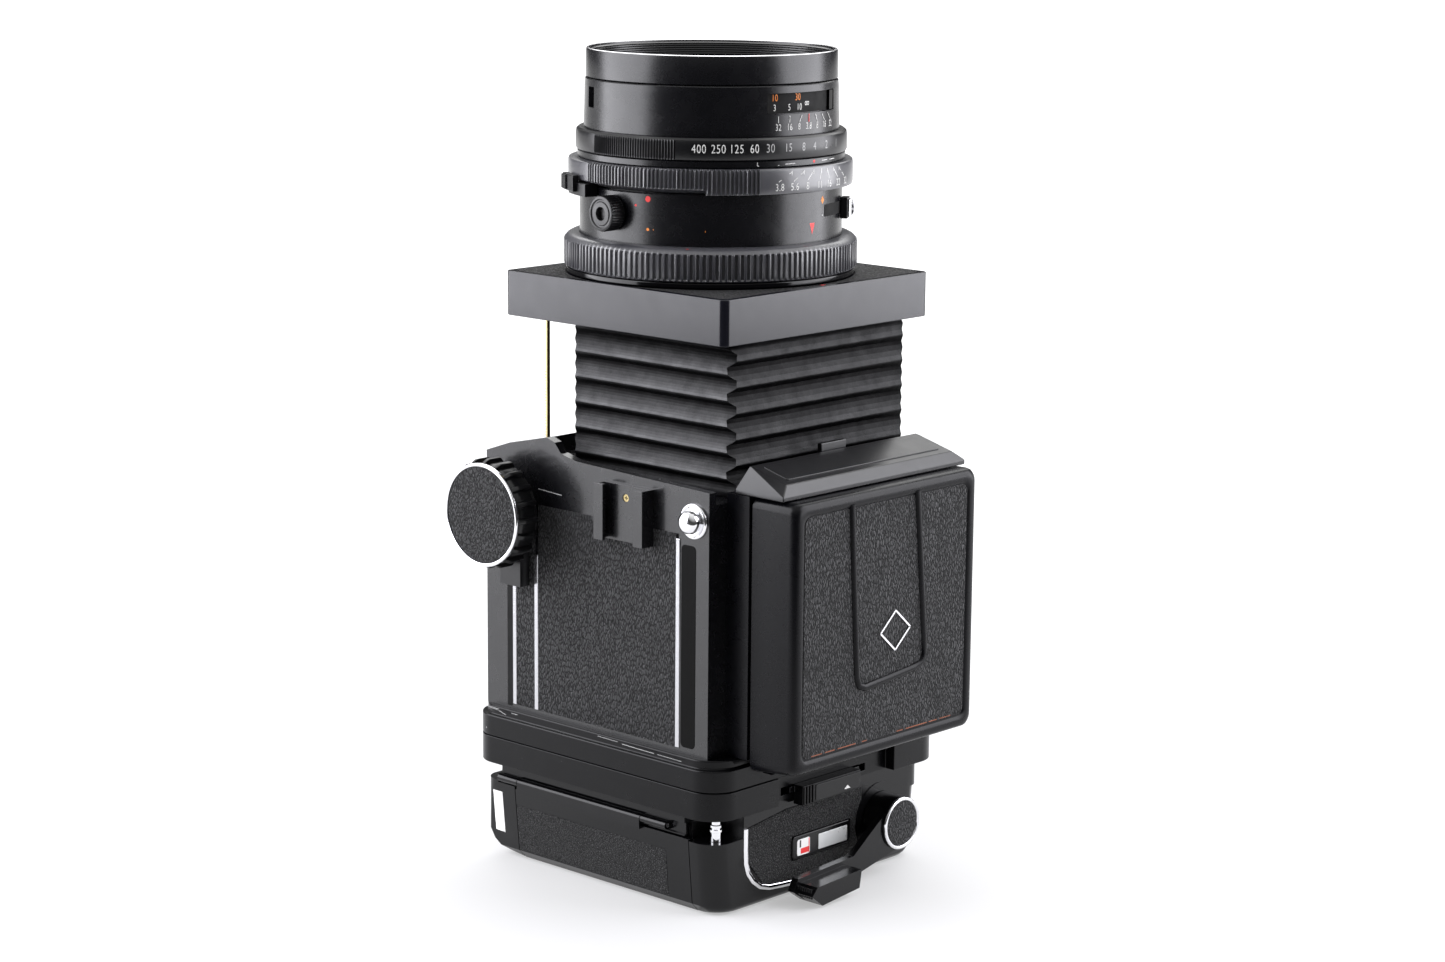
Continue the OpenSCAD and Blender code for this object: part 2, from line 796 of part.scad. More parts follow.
module magnifier_arm() {
    color("#2a2a2c") difference() {
        union() {
            box([lid_top - 5, -15, 90], [lid_top - 3.6, 15, 126]);
            box([lid_top - 3.7, -15, 120], [lid_top - 2.3, 15, 126]);
            x_rod(0, 100, lid_top - 10, lid_top - 3.6, 14.4);
        }
        x_rod(0, 100, lid_top - 11, lid_top, 12.8);
    }
}

module magnifier_lens() {
    color("#b9c9cc", 0.5) x_rod(0, 100, lid_top - 9, lid_top - 5.5, 12.8);
}

// ---- revolving film back ----

module revolving_plate() {
    color("#1a1a1d") difference() {
        union() {
            round_plate(adapter_h, adapter_r, plate_z, ring_z - 0.2);
            z_rod(0, 0, ring_z - 0.3, ring_z + 4, 49);
        }
        box([-30, -gate, plate_z - e], [30, gate, ring_z + 1]);
        box([-gate, -gate, ring_z - 0.2], [gate, gate, ring_z + 5]);
        box([51.8, -25.5, plate_z - e], [adapter_h + e, 31, ring_z + e]);
        box([47.5, -20.5, 34.8], [52, 20.5, 37.2]);
    }
}

function back_outline(inset) = [
    [-46 + inset, inset], [46 - inset, inset], [49 - inset, 3 + inset],
    [back_hw - inset, 24], [back_hw - inset, 26 - inset],
    [-back_hw + inset, 26 - inset], [-back_hw + inset, 24], [-49 + inset, 3 + inset]
];

// Rounded outline that both ends of the shell are trimmed to
module shell_form() {
    intersection() {
        hull() for (x = [shell_low + 6, shell_high - 6]) both_sides() z_rod(x, -back_hw + 6, 0, back_t, 6);
        y_sweep(-back_hw, back_hw, [
            [shell_high, back_t], [shell_low, back_t], [shell_low, 22], [shell_low + 0.7, 14], [shell_low + 2.1, 8],
            [shell_low + 3.8, 4.9], [shell_low + 6.4, 3], [shell_low + 10.4, 1.4], [shell_low + 16.4, 0],
            [shell_high, 0]
        ]);
    }
}

module holder_shell() {
    color("#1b1b1e") difference() {
        union() {
            intersection() {
                union() {
                    x_sweep(door_high + 0.3, shell_high, back_outline(0));
                    x_sweep(shell_low, door_low - 0.3, back_outline(0));
                    box([flange_low, -back_hw + 1, 24.9], [shell_high, back_hw - 1, back_t]);
                }
                shell_form();
            }
            x_rod(hub_y, hub_z, shell_high - 1, shell_high + 0.3, 12);
        }
        box([door_high + 2, -44, 3], [shell_high - 1.8, 44, 22]);
        box([flange_low, -44, 5.2], [door_low - 2, 44, 22]);
        box([door_low - 0.3, -back_hw + 2.4, 24], [door_high + 0.3, back_hw - 2.4, 29]);
        box([-28, -35, 24], [28, 35, back_t + e]);
        box([-34.2, -37.2, 30.75], [34.2, back_hw + e, 31.95]);
        box([37.5, -back_hw - e, 24], [shell_high + e, -37, back_t + e]);
        box([flange_low - 1, -back_hw - 1, door_axis_z - 1.9], [37.5, -back_hw + 1.7, door_axis_z + 1.9]);
        x_rod(hub_y, hub_z, door_high, shell_high + 1, 3);
    }
    color("#1b1b1e") for (span = knuckles) difference() {
        union() {
            x_rod(door_axis_y, door_axis_z, span[0], span[1], 1.4);
            box([span[0], door_axis_y, door_axis_z - 1.4], [span[1], -back_hw + 1.7, door_axis_z + 1.4]);
        }
        x_rod(door_axis_y, door_axis_z, span[0] - 1, span[1] + 1, 0.75);
    }
}

// Band of chrome round the counter panel on the right end
trim_outer = [[-36.8, 26.9], [-36.8, 15.9], [-28.6, 5.7], [-14.9, 4.2], [11.5, 5.9]];
trim_inner = [[11.5, 7.1], [-14.7, 5.4], [-27.8, 6.9], [-35.6, 16.6], [-35.6, 26.9]];

module holder_trim() {
    color("#d4d4d6") {
        x_sweep(shell_high, shell_high + 0.6, concat(trim_outer, trim_inner));
        difference() {
            box([shell_high, -14.5, 11.4], [shell_high + 1, 14.2, 19.7]);
            box([shell_high + 0.6, -13.6, 12.3], [shell_high + 2, 13.3, 18.8]);
        }
        z_rod(46.2, -44.8, 24, 31.5, 2);
    }
}

// Outside of the sloping film back wall at a given height
function wall_y(z) = 49 + (back_hw - 49) * (z - 3) / 21;

// Leather panel set into the sloping left wall
module side_skin(x0, x1, z0, z1, proud) {
    x_sweep(x0, x1, [
        [-wall_y(z0) - proud, z0], [-wall_y(z1) - proud, z1],
        [-wall_y(z1) + skin, z1], [-wall_y(z0) + skin, z0]
    ]);
}

module holder_leather() {
    color("#26262a") difference() {
        x_sweep(shell_high, shell_high + 0.35, [
            [-35.6, 27], [-35.6, 16.6], [-27.8, 6.9], [-14.7, 5.4], [11.5, 7.1],
            [19.8, 9.5], [19.8, 29.5], [-17, 29.5], [-28, 28]
        ]);
        box([shell_high - e, -14.5, 11.4], [shell_high + 1, 14.2, 19.7]);
        x_rod(hub_y, hub_z, shell_high - e, shell_high + 1, 12.2);
    }
}

module back_door() {
    color("#1b1b1e") difference() {
        union() {
            x_sweep(door_low, door_high, back_outline(0));
            x_rod(door_axis_y, door_axis_z, door_knuckle[0], door_knuckle[1], 1.4);
            box([door_knuckle[0], door_axis_y - 1.4, 23.8], [door_knuckle[1], door_axis_y + 0.7, door_axis_z]);
        }
        x_sweep(door_low - e, door_high + e, [
            [-46.4, 2], [46.4, 2], [47, 2.6], [48.6, 20], [48.6, 27], [-48.6, 27], [-48.6, 20], [-47, 2.6]
        ]);
        box([door_low - e, door_axis_y + 0.7, 24.5], [door_high + e, back_hw + 1, 30]);
        box([door_low - e, -back_hw - 1, 24.5], [door_knuckle[0], 0, 30]);
        box([door_knuckle[1], -back_hw - 1, 24.5], [door_high + e, 0, 30]);
        side_skin(door_low - e, 30, 3.4, 19, 1);
        x_rod(door_axis_y, door_axis_z, door_low, door_high, 0.75 + fit);
    }
}

module door_leather() {
    color("#26262a") side_skin(door_low, 30, 3.4, 19, 0.1);
}

module door_hinge_pin() {
    color("#8f8f92") x_rod(door_axis_y, door_axis_z, knuckles[0][0], knuckles[1][1], 0.75);
}

module advance_lever() {
    color("#1d1d20") union() {
        x_rod(hub_y, hub_z, 40.5, shell_high + 0.6, 3 - fit);
        x_rod(hub_y, hub_z, shell_high + 0.6, 60.6, 8.8);
        x_sweep(57.4, 60, [
            [hub_y - 1, hub_z - 8.7], [hub_y, hub_z + 6], [hub_y - 7, hub_z + 5],
            [6, 10.4], [-21, 9], [-23, 5], [-17, 0.9], [2, 2.6]
        ]);
        x_sweep(57.4, 67, [[-17, 0.9], [1, 2.6], [2, 8.6], [-19.5, 7.5], [-22, 4.8]]);
    }
}

module lock_slider() {
    color("#232326") {
        box([shell_high + 0.9, -14.7, 31], [56, 13.4, 37.4]);
        box([48, -17, 35], [shell_high + 1.4, 17, 37]);
    }
}

module dark_slide() {
    color("#b8b8bb") union() {
        box([-34, -37, 30.9], [34, back_hw + 0.4, 31.8]);
        box([-31, back_hw + 0.4, 28.6], [31, back_hw + 3.2, 32.9]);
    }
}

module film_insert() {
    color("#3a3a3d") difference() {
        union() {
            for (x = [-36, 34.6])
                x_sweep(x, x + 1.4, [[-43, 6], [43, 6], [45, 24], [45, 29], [-45, 29], [-45, 24]]);
            box([-35, -17, 6.2], [35, 17, 7.6]);
            for (y = [-42.4, 42.4]) x_rod(y, 27, -35, 35, 1.5);
        }
        for (y = [-spool_y, spool_y]) x_rod(y, spool_z, -37, 37, 2.6 + fit);
    }
}

module pressure_plate() {
    color("#303033") union() {
        box([-33, -36, 27.4], [33, 36, 28.6]);
        for (x = [-20, 20])
            box([x - 2, -14, 7.6], [x + 2, -12.5, 27.4]);
    }
}

// Roll film spool with its axis along X
module spool(y) {
    difference() {
        union() {
            x_rod(y, spool_z, -33, 33, 6);
            for (x = [-33.2, 32]) x_rod(y, spool_z, x, x + 1.2, spool_r);
            x_rod(y, spool_z, -37.4, 37.4, 2.6);
        }
        box([-24, y - 0.5, spool_z - 7], [24, y + 0.5, spool_z + 7]);
    }
}

module take_up_spool() {
    color("#151515") spool(spool_y);
}

module supply_spool() {
    color("#151515") spool(-spool_y);
    color("#e6dfc8") difference() {
        x_rod(-spool_y, spool_z, -31, 31, 9.6);
        x_rod(-spool_y, spool_z, -32, 32, 6);
    }
}

// ---- nodes ----

body_shell();
body_leather();
chrome_strips();
accessory_shoe();
body_screws();
strap_lugs();
tripod_socket();
mirror_box();
focusing_screen();
adapter_ring();
finder_frame();
finder_front();
mirror_carrier();
reflex_mirror();
focus_shaft();
focus_knobs();
knob_rings();
focus_lock_lever();
cocking_lever();
release_button();
front_plate();
front_leather();
focus_racks();
lens_mount();
bellows();
breech_ring();
lens_barrel();
aperture_ring();
shutter_ring();
front_barrel();
front_ring();
distance_scale();
dof_lever();
mirror_up_knob();
sync_lever();
sync_terminal();
lens_glass();
lens_cells();
shutter_leaves();
aperture_blades();
finder_lid();
lid_leather();
left_flap();
right_flap();
magnifier_arm();
magnifier_lens();
revolving_plate();
holder_shell();
holder_trim();
holder_leather();
back_door();
door_leather();
door_hinge_pin();
advance_lever();
lock_slider();
dark_slide();
film_insert();
pressure_plate();
take_up_spool();
supply_spool();
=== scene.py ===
# Looks of a medium-format reflex camera standing on its film back.
import bpy
import bmesh
import json
import math
from mathutils import Vector, Matrix


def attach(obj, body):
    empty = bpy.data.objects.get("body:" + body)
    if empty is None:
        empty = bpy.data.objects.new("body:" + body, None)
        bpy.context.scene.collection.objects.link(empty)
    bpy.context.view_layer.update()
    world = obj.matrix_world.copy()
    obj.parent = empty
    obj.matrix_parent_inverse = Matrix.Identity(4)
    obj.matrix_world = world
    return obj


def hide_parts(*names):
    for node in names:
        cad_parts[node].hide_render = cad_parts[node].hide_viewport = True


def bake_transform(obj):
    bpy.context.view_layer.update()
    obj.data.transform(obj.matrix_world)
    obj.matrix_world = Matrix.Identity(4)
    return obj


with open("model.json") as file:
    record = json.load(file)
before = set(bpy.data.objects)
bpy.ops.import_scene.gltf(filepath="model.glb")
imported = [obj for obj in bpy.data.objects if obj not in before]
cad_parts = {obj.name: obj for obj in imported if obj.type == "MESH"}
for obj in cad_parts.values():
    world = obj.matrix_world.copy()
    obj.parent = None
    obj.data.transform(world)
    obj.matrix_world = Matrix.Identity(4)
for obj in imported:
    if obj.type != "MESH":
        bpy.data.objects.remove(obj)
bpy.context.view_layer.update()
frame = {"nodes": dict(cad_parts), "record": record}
NODES = frame["nodes"]
BODY = {n: b for b, ns in frame["record"]["behaviour"]["bodies"].items() for n in ns}
MM = 0.001
TAU = 2 * math.pi
rad = math.radians


# ---------------------------------------------------------------- materials

def new_material(name):
    m = bpy.data.materials.new(name)
    m.use_nodes = True
    nt = m.node_tree
    nt.nodes.clear()
    out = nt.nodes.new("ShaderNodeOutputMaterial")
    bsdf = nt.nodes.new("ShaderNodeBsdfPrincipled")
    nt.links.new(bsdf.outputs["BSDF"], out.inputs["Surface"])
    return m, nt, bsdf


def coords(nt, scale=(1, 1, 1)):
    tc = nt.nodes.new("ShaderNodeTexCoord")
    mp = nt.nodes.new("ShaderNodeMapping")
    mp.inputs["Scale"].default_value = scale
    nt.links.new(tc.outputs["Object"], mp.inputs["Vector"])
    return mp.outputs["Vector"]


def noise(nt, vec, scale, detail=3.0, rough=0.55, warp=0.0):
    n = nt.nodes.new("ShaderNodeTexNoise")
    n.inputs["Scale"].default_value = scale
    n.inputs["Detail"].default_value = detail
    n.inputs["Roughness"].default_value = rough
    n.inputs["Distortion"].default_value = warp
    nt.links.new(vec, n.inputs["Vector"])
    return n.outputs["Fac"]


def remap(nt, value, a, b, c, d):
    r = nt.nodes.new("ShaderNodeMapRange")
    for k, v in zip(("From Min", "From Max", "To Min", "To Max"), (a, b, c, d)):
        r.inputs[k].default_value = v
    nt.links.new(value, r.inputs["Value"])
    return r.outputs["Result"]


def math_node(nt, op, a, b):
    n = nt.nodes.new("ShaderNodeMath")
    n.operation = op
    for i, v in enumerate((a, b)):
        if isinstance(v, (int, float)):
            n.inputs[i].default_value = v
        else:
            nt.links.new(v, n.inputs[i])
    return n.outputs[0]


def blend_colour(nt, fac, a, b):
    m = nt.nodes.new("ShaderNodeMix")
    m.data_type = "RGBA"
    for key, v in (("A", a), ("B", b)):
        sock = [s for s in m.inputs if s.name == key and s.type == "RGBA"][0]
        if isinstance(v, tuple):
            sock.default_value = (*v, 1)
        else:
            nt.links.new(v, sock)
    nt.links.new(fac, m.inputs["Factor"])
    return [s for s in m.outputs if s.type == "RGBA"][0]


def bump(nt, height, strength, distance, bsdf, after=None):
    b = nt.nodes.new("ShaderNodeBump")
    b.inputs["Strength"].default_value = strength
    b.inputs["Distance"].default_value = distance
    nt.links.new(height, b.inputs["Height"])
    if after is not None:
        nt.links.new(after, b.inputs["Normal"])
    nt.links.new(b.outputs["Normal"], bsdf.inputs["Normal"])
    return b.outputs["Normal"]


def surface(name, colour, rough, metal=0.0, spread=0.06, tint=0.25, grain=(2600, 0.12, 0.00003),
            coat=0.0, coat_rough=0.08, dust=0.0, spec=0.5, stretch=(1, 1, 1)):
    """A finish with uneven gloss, a fine grain, and a little dust or wear where asked."""
    m, nt, b = new_material(name)
    vec = coords(nt, stretch)
    cloud = noise(nt, vec, 55, 4)
    dark = tuple(c * (1 - tint) for c in colour)
    light = tuple(min(1, c * (1 + tint)) for c in colour)
    col = blend_colour(nt, cloud, dark, light)
    smudge = noise(nt, vec, 160, 5, 0.65, 0.4)
    r = remap(nt, smudge, 0.25, 0.75, max(0.02, rough - spread), min(1, rough + spread))
    if dust:
        speck = remap(nt, noise(nt, vec, 1500, 1.5, 0.4), 0.79, 0.83, 0, 1)
        patch = remap(nt, noise(nt, vec, 40, 3), 0.35, 0.7, 0, dust)
        f = math_node(nt, "MULTIPLY", speck, patch)
        col = blend_colour(nt, f, col, (0.55, 0.55, 0.56))
    nt.links.new(col, b.inputs["Base Color"])
    nt.links.new(r, b.inputs["Roughness"])
    b.inputs["Metallic"].default_value = metal
    b.inputs["Specular IOR Level"].default_value = spec
    b.inputs["Coat Weight"].default_value = coat
    b.inputs["Coat Roughness"].default_value = coat_rough
    fine = noise(nt, vec, grain[0], 2, 0.5)
    bump(nt, fine, grain[1], grain[2], b)
    return m


def leatherette(name, scale=(1, 1, 0.42), size=1150, low=(0.0012, 0.0012, 0.0014),
                high=(0.03, 0.03, 0.033)):
    """Pressed covering: small pebbles drawn out down the panel; the colour runs from painted shade in
    the creases between them to a painted highlight on their tops.
    """
    m, nt, b = new_material(name)
    vec = coords(nt, scale)
    push = noise(nt, vec, size * 0.7, 2, 0.5)
    mix = nt.nodes.new("ShaderNodeVectorMath")
    mix.operation = "MULTIPLY_ADD"
    nt.links.new(push, mix.inputs[0])
    mix.inputs[1].default_value = (0.0009, 0.0009, 0.0009)
    nt.links.new(vec, mix.inputs[2])
    cell = nt.nodes.new("ShaderNodeTexVoronoi")
    cell.feature = "DISTANCE_TO_EDGE"
    cell.inputs["Scale"].default_value = size
    nt.links.new(mix.outputs["Vector"], cell.inputs["Vector"])
    pebble = remap(nt, cell.outputs["Distance"], 0.02, 0.3, 0, 1)
    soft = noise(nt, vec, size * 0.7, 3, 0.55, 0.6)
    h = math_node(nt, "ADD", math_node(nt, "MULTIPLY", pebble, 0.9),
                  math_node(nt, "MULTIPLY", soft, 0.45))
    painted_shading = remap(nt, h, 0.3, 1.15, 0, 1)
    cloud = remap(nt, noise(nt, vec, 45, 3), 0.3, 0.7, 0.8, 1.0)
    painted_shading = math_node(nt, "MULTIPLY", painted_shading, cloud)
    # low is the painted shade of the creases and high the painted highlight on the pebbles; the slow
    # cloud is the covering's own uneven tone.
    nt.links.new(blend_colour(nt, painted_shading, low, high), b.inputs["Base Color"])
    nt.links.new(remap(nt, pebble, 0.0, 0.8, 0.95, 0.42), b.inputs["Roughness"])
    b.inputs["Specular IOR Level"].default_value = 0.46
    n1 = bump(nt, h, 1.0, 0.00032, b)
    bump(nt, noise(nt, vec, 4200, 2), 0.15, 0.00005, b, after=n1)
    return m


def cloth_material(name, shade_gain):
    """Coated bellows cloth in lit and shaded copies: the colour is scaled down to paint shade deep in a
    fold and up to paint a highlight on a crest.
    """
    m, nt, b = new_material(name)
    vec = coords(nt)
    cloud = noise(nt, vec, 500, 5, 0.65)
    nt.links.new(blend_colour(nt, cloud, tuple(0.006 * shade_gain * c for c in (1, 1, 1.15)),
                              tuple(0.03 * shade_gain * c for c in (1, 1, 1.12))), b.inputs["Base Color"])
    b.inputs["Specular IOR Level"].default_value = 0.34 * shade_gain
    nt.links.new(remap(nt, noise(nt, vec, 240, 4), 0.3, 0.7, 0.42, 0.62), b.inputs["Roughness"])
    weave = noise(nt, vec, 2400, 3, 0.6)
    crease = noise(nt, coords(nt, (1, 1, 2.5)), 420, 4, 0.6, 0.5)
    n1 = bump(nt, crease, 0.3, 0.0005, b)
    bump(nt, weave, 0.5, 0.00018, b, after=n1)
    return m


def glass_material(name, colour, rough=0.02):
    m, nt, b = new_material(name)
    vec = coords(nt)
    nt.links.new(blend_colour(nt, noise(nt, vec, 30, 2), colour, tuple(c * 0.9 for c in colour)),
                 b.inputs["Base Color"])
    b.inputs["Transmission Weight"].default_value = 1
    b.inputs["IOR"].default_value = 1.6
    patchy = remap(nt, noise(nt, vec, 300, 3), 0.3, 0.7, rough, rough + 0.02)
    nt.links.new(patchy, b.inputs["Roughness"])
    return m


PAINT = surface("black enamel", (0.004, 0.004, 0.005), 0.26, spread=0.05, coat=0.4,
                coat_rough=0.12, dust=0.4, grain=(1500, 0.1, 0.00004))
SATIN_PAINT = surface("satin enamel", (0.0015, 0.0015, 0.002), 0.24, spread=0.06, dust=0.4, spec=0.2,
                      grain=(1800, 0.15, 0.00004))
HOLDER_PAINT = surface("film back enamel", (0.002, 0.002, 0.0025), 0.2, spread=0.06, dust=0.2, spec=0.3,
                       grain=(1500, 0.1, 0.00004))
PLATE_PAINT = surface("lens panel enamel", (0.006, 0.006, 0.010), 0.17, spread=0.03, dust=0.25,
                      spec=0.42, grain=(1700, 0.05, 0.00003))
FINDER_PAINT = surface("finder enamel", (0.002, 0.002, 0.003), 0.28, spread=0.05, dust=0.2, spec=0.16,
                       grain=(1800, 0.15, 0.00004))
NAME_PAINT = surface("nameplate enamel", (0.008, 0.008, 0.009), 0.33, spread=0.04, dust=0.1, spec=0.42,
                     grain=(1800, 0.12, 0.00004))
GLOSS = surface("gloss black", (0.0015, 0.0015, 0.002), 0.12, spread=0.04, spec=0.3,
                grain=(900, 0.05, 0.00003))
STRIP_BLACK = surface("name strip enamel", (0.0015, 0.0015, 0.0015), 0.2, spread=0.05, spec=0.08)
LENS_BLACK = surface("lens black", (0.0022, 0.0022, 0.0035), 0.27, spread=0.04,
                     grain=(3200, 0.12, 0.00003), dust=0.06)
RING_BLACK = surface("ring black", (0.003, 0.003, 0.0038), 0.3, spread=0.05, grain=(3000, 0.2, 0.00003))
# The ribbed rings' base colour is lifted far above the other blacks: a painted sheen standing in for
# the light their ribs reflect.
RIB_SHEEN_BLACK = surface("ribbed ring black", (0.045, 0.045, 0.052), 0.32, spread=0.05, spec=1.0,
                    grain=(3000, 0.15, 0.00003), coat=0.3, coat_rough=0.25)
INNER_BLACK = surface("inner black", (0.002, 0.002, 0.002), 0.7, spread=0.1, spec=0.2)
CHROME = surface("polished chrome", (0.82, 0.82, 0.84), 0.1, metal=1, spread=0.06, tint=0.05,
                 grain=(700, 0.04, 0.00003))
STRIP = surface("strip chrome", (0.52, 0.52, 0.54), 0.2, metal=1, spread=0.06, tint=0.08,
                stretch=(1, 1, 6))
STEEL = surface("turned steel", (0.6, 0.6, 0.62), 0.28, metal=1, spread=0.08, tint=0.1,
                stretch=(1, 1, 9))
BRASS = surface("worn brass", (0.42, 0.34, 0.17), 0.38, metal=1, spread=0.12, tint=0.45)
EDGE = surface("bare rim", (0.75, 0.75, 0.77), 0.22, metal=1, spread=0.08, tint=0.1)
WHITE = surface("white fill", (0.75, 0.75, 0.73), 0.55, tint=0.06)
GREY = surface("grey fill", (0.42, 0.42, 0.42), 0.55, tint=0.06)
RED = surface("red fill", (0.75, 0.02, 0.02), 0.45, tint=0.1)
ORANGE = surface("orange fill", (0.85, 0.24, 0.02), 0.5, tint=0.1)
SILVER_LABEL = surface("label", (0.62, 0.63, 0.63), 0.3, metal=0.4, tint=0.06)
PAPER = surface("blank sticker", (0.8, 0.8, 0.79), 0.6, tint=0.04)
PLASTIC = surface("black plastic", (0.012, 0.012, 0.012), 0.45, spread=0.08)
MIRROR = surface("silvered glass", (0.88, 0.9, 0.9), 0.03, metal=1, spread=0.01, tint=0.02)
RUST = surface("worn edge of leather", (0.22, 0.055, 0.015), 0.6, tint=0.5)
LEATHER = leatherette("body leatherette", scale=(1, 1, 0.36), size=1500)
LEATHER_TOP = leatherette("panel leatherette", scale=(1, 1, 1), size=1200, low=(0.001, 0.001, 0.001),
                          high=(0.016, 0.016, 0.017))
LEATHER_FINE = leatherette("knob leatherette", scale=(1, 1, 0.4), size=1600)
LEATHER_BACK = leatherette("film back leatherette", scale=(1, 1, 0.8), size=1500,
                           low=(0.001, 0.001, 0.0012), high=(0.014, 0.014, 0.015))
FOLD_SHADE_GAINS = (0.1, 0.24, 0.42, 0.62, 0.85, 1.1, 1.5)      # colour scale from painted shade at the bottom of a fold to a painted highlight on its crest
SHADED_CLOTH = [cloth_material(f"bellows cloth {k}", shade_gain) for k, shade_gain in enumerate(FOLD_SHADE_GAINS)]
GLASS = glass_material("coated glass", (0.62, 0.78, 0.66))
SCREEN = glass_material("ground glass", (0.85, 0.88, 0.88), rough=0.35)


# ---------------------------------------------------------------- mesh helpers

def add_object(name, me, body, rep=()):
    o = bpy.data.objects.new(name, me)
    bpy.context.scene.collection.objects.link(o)
    if rep:
        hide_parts(*rep)
    if body:
        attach(o, body)
    return o


def shade(me, angle=32):
    for p in me.polygons:
        p.use_smooth = True
    me.set_sharp_from_angle(angle=rad(angle))


def bevel(o, width, segs=2, angle=30):
    mod = o.modifiers.new("edge", "BEVEL")
    mod.width = width * MM
    mod.segments = segs
    mod.limit_method = "ANGLE"
    mod.angle_limit = rad(angle)
    mod.use_clamp_overlap = True
    mod.harden_normals = True
    return o


def piece(name, verts, faces, mats, body, rep=(), fmat=None, angle=32, edge=0.0, segs=2):
    """A mesh from points in millimetres in the row frame."""
    me = bpy.data.meshes.new(name)
    me.from_pydata([(x * MM, y * MM, z * MM) for x, y, z in verts], [], faces)
    for m in (mats if isinstance(mats, (list, tuple)) else [mats]):
        me.materials.append(m)
    if fmat:
        for p, i in zip(me.polygons, fmat):
            p.material_index = i
    me.validate()
    bm = bmesh.new()
    bm.from_mesh(me)
    bmesh.ops.recalc_face_normals(bm, faces=bm.faces)
    bm.to_mesh(me)
    bm.free()
    shade(me, angle)
    o = add_object(name, me, body, rep)
    if edge:
        bevel(o, edge, segs)
    return o


def common(me, rings):
    """The part of a mesh that lies inside a closed stack of rings."""
    cutter = bpy.data.meshes.new("cutter")
    n = len(rings[0])
    faces = [tuple(range(n))[::-1], tuple(range((len(rings) - 1) * n, len(rings) * n))]
    faces += [(i * n + j, i * n + (j + 1) % n, (i + 1) * n + (j + 1) % n, (i + 1) * n + j)
              for i in range(len(rings) - 1) for j in range(n)]
    cutter.from_pydata([tuple(c * MM for c in v) for ring in rings for v in ring], [], faces)
    a, b = bpy.data.objects.new("kept", me), bpy.data.objects.new("cutter", cutter)
    for o in (a, b):
        bpy.context.scene.collection.objects.link(o)
    mod = a.modifiers.new("common", "BOOLEAN")
    mod.operation, mod.object, mod.solver = "INTERSECT", b, "EXACT"
    out = bpy.data.meshes.new_from_object(a.evaluated_get(bpy.context.evaluated_depsgraph_get()))
    bpy.data.objects.remove(a)
    bpy.data.objects.remove(b)
    return out


def refined(node, mat, edge=0.3, segs=2, angle=30, inside=None):
    """A copy of a CAD node with broken edges and its own finish, cut to the rings in inside."""
    src = NODES[node].data
    bm = bmesh.new()
    bm.from_mesh(src)
    bmesh.ops.remove_doubles(bm, verts=bm.verts, dist=3e-6)
    bmesh.ops.dissolve_limit(bm, angle_limit=rad(0.4), use_dissolve_boundaries=False,
                             verts=bm.verts, edges=bm.edges)
    bmesh.ops.recalc_face_normals(bm, faces=bm.faces)
    bm.verts.index_update()
    verts = [v.co[:] for v in bm.verts]
    faces = [[v.index for v in f.verts] for f in bm.faces]
    bm.free()
    me = bpy.data.meshes.new(node + "_fine")
    me.from_pydata(verts, [], faces)
    if inside:
        me = common(me, inside)
    me.materials.clear()
    me.materials.append(mat)
    shade(me, angle)
    o = add_object(node + "_fine", me, BODY[node], (node,))
    if edge:
        bevel(o, edge, segs, angle)
    return o


def cad_finish(mat, *names):
    for n in names:
        o = NODES[n]
        if not o.material_slots:
            continue
        for s in o.material_slots:
            s.link = "OBJECT"
            s.material = mat


def axes_for(way):
    """Two directions across and one along an axis, right handed."""
    w = Vector(way).normalized()
    u = Vector((0, 0, 1)).cross(w) if abs(w.z) < 0.9 else Vector((1, 0, 0))
    u.normalize()
    return u, w.cross(u), w


def lathe(name, prof, mats, body, rep=(), n=192, way=(0, 0, 1), at=(0, 0, 0), shape=None,
          pmat=None, close=True, angle=32):
    """Points (radius, height) turned round an axis; shape(i, angle, r, h) may move a point."""
    u, v, w = axes_for(way)
    if abs(w.z) > 0.9:
        u, v = Vector((1, 0, 0)), Vector((0, 1, 0))
    o = Vector(at)
    k = len(prof)
    verts, faces, fm = [], [], []
    for j in range(n):
        a = TAU * j / n
        for i, (r, h) in enumerate(prof):
            if shape:
                r, h = shape(i, math.degrees(a) if a <= math.pi else math.degrees(a) - 360, r, h)
            verts.append(tuple(o + u * (r * math.cos(a)) + v * (r * math.sin(a)) + w * h))
    rows = range(k) if close else range(k - 1)
    for j in range(n):
        j2 = (j + 1) % n
        for i in rows:
            i2 = (i + 1) % k
            faces.append((j * k + i, j2 * k + i, j2 * k + i2, j * k + i2))
            fm.append(pmat[i] if pmat else 0)
    if not close:
        for i in (0, k - 1):
            if prof[i][0] > 1e-6:
                faces.append(tuple(j * k + i for j in range(n)))
                fm.append(pmat[min(i, k - 2)] if pmat else 0)
    return piece(name, verts, faces, mats, body, rep, fm, angle)


def prism(name, outline, to3d, low, high, mats, body, rep=(), edge=0.2, segs=2):
    """An outline drawn out between two levels; to3d(u, v, w) places it."""
    k = len(outline)
    verts = [to3d(u, v, low) for u, v in outline] + [to3d(u, v, high) for u, v in outline]
    faces = [tuple(range(k)), tuple(range(k, 2 * k))]
    faces += [(i, (i + 1) % k, k + (i + 1) % k, k + i) for i in range(k)]
    return piece(name, verts, faces, mats, body, rep, edge=edge, segs=segs)


